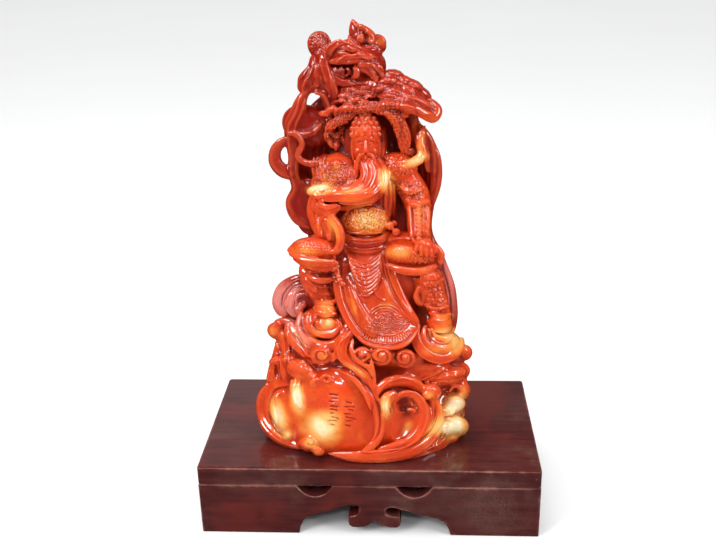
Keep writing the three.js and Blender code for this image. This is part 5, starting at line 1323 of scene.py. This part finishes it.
def board(node, finish):
    """A board of the stand with its corners rounded and its edges marked for wear."""
    thing = twin_of(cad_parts[node])
    for key in list(thing.keys()):
        del thing[key]
    thing.parent = None
    thing.name = thing.data.name = node + "_board"
    with editing(thing):
        bpy.ops.mesh.remove_doubles(threshold=0.00001)
        bpy.ops.mesh.dissolve_limited(angle_limit=math.radians(1))
        bpy.ops.mesh.select_mode(type="EDGE")
        bpy.ops.mesh.select_all(action="DESELECT")
        bpy.ops.mesh.edges_select_sharp(sharpness=SHARP)
    p = corners(thing)
    ends = np.array([tuple(edge.vertices) for edge in thing.data.edges if edge.select])
    starts, ways = p[ends[:, 0]], p[ends[:, 1]] - p[ends[:, 0]]
    apply(thing, "BEVEL", width=ROUNDING, segments=3, limit_method="ANGLE", angle_limit=SHARP)
    with editing(thing):
        bpy.ops.mesh.quads_convert_to_tris()
    for _ in range(7):
        split_long_edges(thing)
    p = corners(thing)
    away = np.full(len(p), 1.0)
    for start, way in zip(starts, ways):
        share = np.clip((p - start) @ way / (way @ way), 0, 1)
        away = np.minimum(away, np.linalg.norm(p - start - share[:, None] * way, axis=1))
    layer = thing.data.attributes.new("wear", "FLOAT", "POINT")
    layer.data.foreach_set("value", np.clip(1 - away / WORN_WIDTH, 0, 1).astype(np.float32))
    pick(thing)
    bpy.ops.object.shade_smooth_by_angle(angle=math.radians(35))
    lay_on(thing, finish)
    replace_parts(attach(thing, "root"), node)


def split_long_edges(thing):
    """Halves long edges, so that the wear is drawn finely enough."""
    p = corners(thing)
    ends = np.array([tuple(edge.vertices) for edge in thing.data.edges])
    long = np.linalg.norm(p[ends[:, 0]] - p[ends[:, 1]], axis=1) > LONGEST_EDGE
    if not long.any():
        return
    thing.data.edges.foreach_set("select", long)
    thing.data.polygons.foreach_set("select", np.zeros(len(thing.data.polygons), bool))
    pick(thing)
    bpy.ops.object.mode_set(mode="EDIT")
    bpy.ops.mesh.select_mode(type="EDGE")
    bpy.ops.mesh.subdivide(number_cuts=1)
    bpy.ops.object.mode_set(mode="OBJECT")


carve("rock_and_clouds", [rock, boulder, waves, clouds, back_of_the_rock], 0.46, 3,
      [(160, 0.75), (50, 0.7), (12, 0.5)], [
    boulder_strokes,
    dent((16.6, 36), (7.4, 13), -14, 3.4),
    dent((16.4, 45.6), (4.6, 5), 0, 3.2),
    dent((-49.6, 42), (2.6, 11), 4, 2.6),
    dent((-35.6, 81), (3, 9), 24, 1.6),
    dent((29.4, 83), (2.4, 7), 10, 1.6),
    dent((-47, 65), (1.3, 6), 8, 1.2),
    # the edge of the boulder
    stroke([(-24, 68.5), (-12, 66), (-4.6, 59.5), (1.6, 50), (4.4, 39), (3.4, 29), (-1, 22)], 0.9, -1.1),
    # rims of the layers of water, crisp on one side
    *strokes([
        [(12, 42), (12, 48), (16.4, 52.6), (22.6, 52), (27.2, 45), (27, 36), (22.4, 27), (14, 21), (2, 18.2)],
        [(-14, 18), (6, 18.2), (19, 23), (28, 31.6), (31.4, 41), (30.4, 51)],
        [(-24, 14.4), (-4, 12.4), (14, 13.8), (27, 19.6), (36, 28), (38.6, 35)],
        [(3, 50.6), (6, 56), (12, 60), (19, 60.2), (26, 56.4)],
        [(-41, 22.5), (-48.5, 29), (-52, 38), (-51.5, 48), (-47, 55), (-40, 56.8)],
    ], 0.4, 1.1, 2.6),
    *strokes([
        [(-2, 16), (12, 18.4), (23, 25), (31, 35), (33.4, 46)], [(18, 18.4), (27, 24.4), (34, 33), (35.6, 40)],
        [(-55.6, 50), (-56.6, 42), (-55.2, 33), (-48.6, 25), (-40, 20)],
        [(24, 59.4), (31, 62.8), (38, 67)], [(30, 57.4), (36, 59.4), (40, 58)], [(32, 60.4), (38, 62), (44, 63)],
        [(-47.8, 83), (-44.6, 76), (-44, 67), (-45.6, 58)], [(-40, 88), (-39.6, 78), (-40.4, 68)],
        [(-42.2, 87), (-41.8, 77), (-42, 66)], [(-45.6, 72), (-47.8, 66), (-48, 60)],
        [(-40, 92), (-38.6, 84), (-33.4, 76), (-27.6, 71)], [(-34.4, 90), (-33.4, 84), (-28.8, 77.4)],
        [(-37, 67.6), (-31.6, 68), (-27, 63.6)], [(-49.4, 66), (-51, 60), (-52.4, 55)],
        [(-29, 77), (-33.6, 80), (-36, 86)], [(-27, 68.4), (-31.4, 71.4), (-35.4, 76)],
        [(-8, 86), (-14.8, 79.6), (-15, 72), (-10, 65.6), (-4, 60.6), (-1, 54)],
        [(-5.8, 84), (-11.2, 79), (-11.2, 73), (-7, 68), (-1.4, 63.6), (1.4, 57)],
        [(-10.6, 62.6), (-6.4, 59.6), (-4, 56)], [(-9, 64.4), (-5, 61), (-2.6, 57.6)],
        [(27.6, 20), (33.4, 25), (37, 31.6)], [(31, 20.6), (36, 25.2), (39, 30)],
        [(25, 92), (23.6, 84), (27.4, 76.6), (35, 73), (43.6, 77)],
        [(20.8, 88), (21, 80), (25.4, 73), (34, 69.4), (44, 72.6)],
        [(28.6, 89), (29.4, 83.6), (34, 80), (41, 82.4)],
    ], 0.38, 0.62),
    *strokes([coil((-24, 73), 5, 1.4, 150, -560), coil((-3.6, 73.4), 4.6, 1.6, 250, 500),
              coil((5.6, 72.8), 5.2, 1.7, 100, 520), coil((17, 71.8), 5.2, 1.7, 110, 520),
              coil((-31.6, 22.6), 3.6, 1, 200, -420)], 0.5, -1.1),
    *strokes([coil((-22, 89), 12, 3, 110, 540, 0.85), [(36, 54.6), (39.4, 50), (45, 50)],
              [(35.4, 38.6), (40, 39), (45.6, 39.4)]], 0.5, -0.6),
    *strokes([[(x + 1.2, 51.6), (x, 46), (x + 0.6, 40)] for x in (5.2, 6.8, 8.4, 10)], 0.32, 0.5),
    *strokes([[(x, 60.6), (x - 0.5, 52), (x + 0.8, 44)] for x in (-38.4, -36.4, -34.4)], 0.5, -0.2),
], deep=0.22, flat=True, most=178000, behind=((ROCK_ACROSS, 0), 40, wave_rows((0, 66), (170, 34), 3, 25, 0.45)))

carve("legs_and_apron", [legs, apron], 0.36, 1, [(60, 0.7), (12, 0.5)], [
    scales((-25.4, 129.4), (9.4, 3.9), -3, 1.5, 0.42),
    ornament((25.4, 123.4), (7.6, 5), -8, 2.7, 0.36),
    wave_rows((9, 89.6), (11.6, 5.4), 12, 5.6, 0.42),
    rings((7.6, 92), 4.6, 9.4, 1.4, 0.3, ((6.4, 98.4), (8.6, 3.4), 0, 0.2)),
    ornament((7.4, 94.6), (5, 3.2), 10, 2.4, 0.3),
    rays((8, 101), 17.4, 21.5, 96, 0.34, -128, -48),
    stroke([(-4.6, 90), (2, 85.6), (9, 84.2), (16, 86.8), (20, 92.6)], 0.4, 0.5),
    ornament((31.4, 105), (5.4, 9.5), 15, 2.7, 0.38),
    dent((24.4, 104.6), (1.5, 5), 6, 1),
    *strokes([[(10.4 + 1.3 * i, 133 - 0.4 * i), (12.6 + 1.5 * i, 127 - 0.3 * i), (12.6 + 2 * i, 121 + 0.1 * i)]
              for i in range(8)], 0.4, 0.6, 0.9),
    *strokes([[(-12 + 0.5 * i, 130.4 - 1.1 * i), (-7.2 + 0.3 * i, 124.2 - 1.9 * i), (-1.6, 121.6 - 2.1 * i),
               (4 - 0.1 * i, 124.4 - 2 * i), (8.6 - 0.2 * i, 131.4 - 1.6 * i)] for i in range(9)], 0.34, 0.85, 1.4),
    *strokes([[(-10 + 0.5 * i, 126.4 - 1.1 * i), (-6.2 + 0.3 * i, 122.6 - 1.9 * i), (-1.6, 120.6 - 2.1 * i),
               (3.2 - 0.1 * i, 122.8 - 2 * i)] for i in range(7)], 0.26, 0.3),
    *strokes([
        [(-17, 125), (-16.4, 112), (-14, 99), (-9.6, 88.6), (-4.4, 81)],
        [(-14.6, 124), (-14.2, 112), (-12, 100), (-7.6, 90), (-2.4, 82)],
        [(-12, 121), (-11.6, 111), (-9, 99), (-4.6, 89.6), (0.4, 82.4)],
        [(-10, 117), (-7, 105), (-2, 93.6), (3.8, 84)], [(-8.6, 114), (-5.2, 103), (-0.4, 93)],
        [(-6.6, 111), (-3.4, 102), (1, 94)], [(-4, 106), (-2, 101)],
        [(24, 91.6), (18.6, 98), (13.6, 107), (9.8, 117.6), (8.6, 129)],
        [(22, 90.6), (16.8, 97), (11.8, 106.4), (8.2, 117), (7.2, 127)],
        [(20, 91.6), (14.8, 98), (10, 107), (6.8, 117), (6, 124)],
        [(12.4, 100.4), (8.6, 108), (6, 116)], [(2, 110), (4, 105), (8, 102)],
        [(-6.4, 86), (-1, 81.8), (7.4, 79.6), (16, 81.6), (22.6, 88.8)],
    ], 0.36, 0.62, 1.2),
    *strokes([[(-31, 117.4), (-25, 112.6), (-17, 112)], [(-30.6, 114.4), (-25, 110), (-17, 109.4)],
              [(-29, 110.6), (-23.6, 106), (-16.4, 105.6)], [(-33, 121), (-27, 117.4), (-17, 117)],
              [(-37.4, 126.4), (-30, 123.4), (-16, 122.6)], [(-36, 124.4), (-29, 120.8), (-16, 120)],
              [(-27.6, 101), (-22, 99.4), (-16, 100.6)], [(-27, 98), (-21.6, 96), (-16.6, 97)],
              [(23.4, 111), (21.6, 105), (24, 99)], [(26.4, 112), (28.4, 106), (27.4, 99)],
              [(24.6, 116.6), (29, 113.4), (34.4, 115.6)], [(24, 113), (29, 110), (35, 112)],
              [(27.6, 103), (32, 100), (38, 102)], [(29, 94), (33.4, 92), (39, 93.4)],
              [(29.6, 90.6), (33.6, 88.6), (39, 90)], [(30, 87.6), (33.6, 86), (38.6, 87)]], 0.36, 0.5, 0.9),
    *strokes([[(25, 116), (24.6, 112)], [(28, 116.6), (28.4, 112.6)], [(31, 116.6), (32, 112.6)]], 0.4, 0.5),
    crumble((-15.4, 118), (2, 9), 8, 3.2, 0.3),
], deep=0.2, back=5, most=150000)

carve("armoured_body", [body, arms], 0.34, 1, [(50, 0.6), (12, 0.5)], [
    ornament((-1, 143.6), (10, 6.4), 0, 2.3, 0.42),
    *strokes([[(-10.6, u), (-1, u - 0.9), (8.6, u)] for u in (137.4, 135.8, 134.2)], 0.28, 0.4),
    *strokes([[(-9, u), (-1.6, u - 1), (6, u)] for u in (132.6, 131.2, 129.8, 128.4)], 0.26, 0.4),
    stroke([(-11, 140), (-10.4, 146), (-5.6, 150), (1, 150.8), (6.6, 149), (9, 144)], 0.4, 0.5),
    ornament((13.6, 169), (9.6, 5.6), -15, 2.7, 0.36),
    ornament((20.4, 157), (7, 6), -20, 2.7, 0.38),
    ornament((25, 146), (3, 5), 0, 2.4, 0.24),
    crumble((-15, 164.4), (11, 6.8), 25, 3.1, 0.75),
    crumble((-4, 161), (4, 4), 0, 3.1, 0.5),
    *strokes([[(-26, 158), (-24, 159.8), (-22, 158.2), (-20.4, 160), (-18, 159)],
              [(-24.6, 156.6), (-22.6, 157.6), (-20.6, 156.6), (-18.4, 158)]], 0.3, -0.75),
    stripes((-20.6, 168), (3.6, 6.4), 0, 1.6, 0.35),
    dent((-19.4, 138.4), (2.4, 6.4), 8, 1.4),
    *strokes([[(-20, 150), (-15.6, 144.6), (-12.2, 138.4), (-11.8, 132), (-14.6, 126.4)],
              [(-19, 148), (-16, 142.8), (-14, 137.6), (-13.6, 132), (-16, 128)],
              [(-22, 131), (-22.8, 137), (-21.6, 143), (-18.6, 146)], [(-24.8, 153), (-25.2, 146), (-24, 138)],
              [(-22.8, 152), (-23.4, 146), (-22.4, 140)], [(-12, 152), (-16.6, 149), (-22.4, 150.6), (-24, 154)],
              [(-14, 154), (-18, 152), (-21, 153)], [(19.4, 151), (20, 142), (20.4, 133)],
              [(22, 150), (22.2, 141), (22.4, 133)], [(25.8, 150), (25.8, 142), (25.6, 134)],
              [(28.2, 151), (28, 142), (27.6, 134)], [(17, 155), (22, 152), (29, 153.6)],
              [(15.6, 161), (19.6, 157.6), (26.6, 159)], [(8.2, 162), (8.4, 156), (8.2, 149)],
              [(10.8, 162), (11, 156), (10.8, 148)], [(-8, 152), (-2, 152.6), (5, 156)],
              [(-9, 150), (-2, 150.6), (4, 153.4)]], 0.34, 0.5, 0.8),
], deep=0.2, back=3, most=150000)

carve("head_and_beard", [head, beard], 0.25, 1, [(10, 0.4)], deep=0.16, back=1, most=120000)

# The cloak's deep red is partly its own darker red and partly painted shade for its inner side, where little light gets
# in.
carve("cloak_and_scarf", [cloak, scarf, back_of_the_cloak], 0.5, 2, [(110, 0.8), (28, 0.6)], [
    *strokes([[(0.84 * x, 191), (x, 178), (1.03 * x, 162), (0.95 * x, 146)] for x in (-24, -21, -18, -15)],
             0.8, 0.5, 2.4),
    *strokes([[(0.95 * x, 146), (1.03 * x, 162), (x, 178), (0.84 * x, 192)] for x in (14, 17.4, 20.6, 24, 27)],
             0.9, 0.6, 2.2),
    *strokes([[(30.4 - k, 134), (34.4 - k, 120), (37.6 - k, 107), (38.8 - 0.9 * k, 92)]
              for k in (-1.4, 0.6, 2.8, 5, 7.4)], 0.5, 0.95, 1.2),
    *strokes([[(-26.5, 113.4 - 1.7 * k), (-34.6, 112.4 - 2 * k), (-40.6 + 1.5 * k, 106.6 - 1.5 * k),
               (-42.6 + 1.9 * k, 98.6 - 0.6 * k)] for k in (-0.4, 0.6, 1.6, 2.6, 3.8)], 0.5, 0.95, 1),
    *strokes([
        [(-28, 202), (-30.6, 194), (-34, 188), (-34.6, 181.6), (-34, 174), (-34.2, 166), (-33, 158.6), (-36, 151.6),
         (-33.4, 145)],
        [(-25.8, 201), (-28.2, 194), (-31, 188), (-31.8, 181.6)],
        [(-33, 182), (-37.6, 181.8), (-42, 177.4), (-42.8, 171), (-39, 165.8), (-33, 163.2)],
        [(-15, 189), (-13.6, 197), (-17.6, 205.4), (-24.6, 205.4), (-28.4, 199)],
        [(31.6, 178), (33, 168), (32.4, 160), (30, 150)], [(29, 182), (30.6, 172), (30.6, 164)],
        [(21, 169), (26, 173.4), (25, 181), (26.6, 186)],
    ], 0.6, 0.6, 1.2),
], deep=0.92, most=148000, behind=(
    (-1, -6), 24, stripes((0, 140), (90, 62), 1.5, 6.1, 0.42), stripes((0, 140), (90, 62), -1.5, 3.7, 0.22)))

carve("pine", [pine], 0.36, 0, [(4, 0.3)], [
    crumble((-8, 187), (13, 9), 16, 3.1, 0.85),
    crumble((14.6, 183), (5.4, 12), 10, 3.1, 0.85),
    crumble((5, 195.6), (12, 4), -6, 3.1, 0.8),
    crumble((-4, 201), (12, 6), 0, 3.2, 0.5),
    crumble((13, 203), (14, 7), -20, 2.2, 0.2),
    *strokes([[(15, 196.6), (21, 195.4), (26, 192.4), (30.4, 193)], [(17, 199.6), (23, 198.6), (28, 196)]],
             0.4, 0.5, 0.9),
], deep=0.36, most=100000, behind=((6, -2), 16, crumble((0, 198), (60, 14), 0, 1.5, 0.4)))

carve("dragon", [dragon], 0.36, 0, [(60, 0.7), (20, 0.5), (6, 0.3)], [
    crumble((-18.8, 223.4), (5.4, 5.6), 0, 2.7, 0.55),
    crumble((-9, 224), (4, 2), 0, 3, 0.25),
    crumble((2, 217.4), (4, 1.8), -10, 3.2, 0.25),
    *strokes([
        [(-17, 219), (-15.6, 212), (-13.4, 206), (-12, 200)], [(-19, 218), (-18, 212), (-16, 206.4)],
        [(-22, 217.6), (-23, 212), (-27, 206.6)], [(-20.4, 217), (-21, 211.4), (-24.6, 206)],
        [(-21, 215), (-24, 209.6), (-28, 205)], [(-4.4, 232.4), (-2, 228), (-2.6, 223.4)],
        [(-3.4, 232), (1.4, 229), (4, 225.6), (3, 221.6)], [(-6, 226), (-6, 222.6), (-3, 220)],
        [(-13.8, 215.6), (-13.8, 220), (-10, 221.8), (-4.6, 219.8), (1, 217), (7.6, 218)],
        [(-16, 215), (-16.4, 220), (-11, 224.4), (-4.4, 222.4)], [(3, 214.6), (6, 211.6), (8.4, 208)],
        [(1, 213.4), (3.6, 210.4), (5.4, 207)], [(-12.6, 214.6), (-9, 217.4), (-4, 218.4), (1, 218.4)],
        [(-3, 214), (1.6, 213), (5, 210)], [(0, 216.6), (5, 215.4), (8.4, 211.6)],
        [(-14.4, 212), (-11, 208), (-6, 207)],
        [(-2, 231), (-0.6, 227), (-1.4, 223)], [(1, 229), (3, 226), (1.6, 223)], [(-19, 210), (-18.4, 205), (-16, 200)],
        [(-15, 210), (-14, 204), (-12.6, 199)], [(-25, 209), (-27, 205), (-27, 201)],
    ], 0.4, 0.7, 0.9),
    *strokes([[(-14, 217.6), (-12, 221), (-7, 222.6), (0, 220.4)], [(-9, 215.6), (-4, 216.4), (3, 215.8)],
              [(-1, 211), (2, 208.6), (2.4, 206)], [(-23.4, 215), (-25.4, 210), (-28.6, 207)],
              [(-0.6, 222.4), (3.4, 222.6), (7, 221.6)]], 0.5, -0.6),
], deep=0.4, most=80000, behind=((-5, 0), 13, scales((0, 214), (60, 14), 0, 3.3, 0.55)))

finish_stone()

for node, along_axis in (("stand_top", "X"), ("stand_front", "X"), ("stand_back", "X"), ("stand_left", "Y"),
                         ("stand_right", "Y")):
    board(node, lacquer_finish("lacquer_" + node[6:], along_axis))

# Floor, lights and camera
bpy.ops.mesh.primitive_grid_add(x_subdivisions=8, y_subdivisions=8, size=16, location=(0, 0, 0))
floor = bpy.context.object
floor.name = "floor"
floor.data.materials.append(paper_finish())
floor.visible_glossy = False

world = bpy.data.worlds.new("studio")
bpy.context.scene.world = world
world.use_nodes = True
daylight = world.node_tree.nodes["Background"].inputs
daylight["Color"].default_value = (0.93, 0.94, 0.95, 1)
daylight["Strength"].default_value = 0.4
world.cycles_visibility.glossy = False


def softbox(name, at, aim, wide, high, power):
    """A soft light of some width and height in metres, and of some watts."""
    bpy.ops.object.light_add(type="AREA", location=at)
    lamp = bpy.context.object
    lamp.name = name
    lamp.data.shape = "RECTANGLE"
    lamp.data.size, lamp.data.size_y, lamp.data.energy = wide, high, power
    lamp.rotation_euler = (Vector(aim) - Vector(at)).to_track_quat("-Z", "Y").to_euler()


CHEST = (0, 0, 0.14)
FOOT = (0, 0, 0.05)
softbox("left_softbox", (-0.75, -0.7, 0.85), CHEST, 0.34, 0.6, 9)
softbox("right_softbox", (0.85, -0.45, 0.6), CHEST, 0.16, 0.7, 4.5)
softbox("front_softbox", (0.16, -1.1, 1.0), CHEST, 0.34, 0.14, 3)
softbox("top_softbox", (-0.1, -0.1, 1.1), CHEST, 0.5, 0.16, 2)
softbox("rear_card", (0, 2.6, 1.1), FOOT, 5, 0.9, 3)
softbox("left_rear_card", (-1.3, 2.6, 1.75), FOOT, 1.9, 0.9, 2.2)
softbox("ceiling", (0, 1.8, 3.4), (0, 1.8, 0), 9, 8, 210)
bpy.context.object.visible_glossy = False

bpy.ops.object.camera_add(location=(0.02101, -0.40397, 0.28346))
camera = bpy.context.object
camera.data.sensor_width = 36
camera.data.lens = 46.64
# fitted to the edges of the stand in the photo
pitch, yaw, roll = -0.3871727, 0.06385935, 0.02513521
camera.rotation_euler = (Matrix.Rotation(yaw, 3, "Z") @ Matrix.Rotation(math.pi / 2 + pitch, 3, "X")
                         @ Matrix.Rotation(-roll, 3, "Z")).to_euler()
bpy.context.scene.camera = camera
bpy.context.scene.view_settings.view_transform = "Standard"
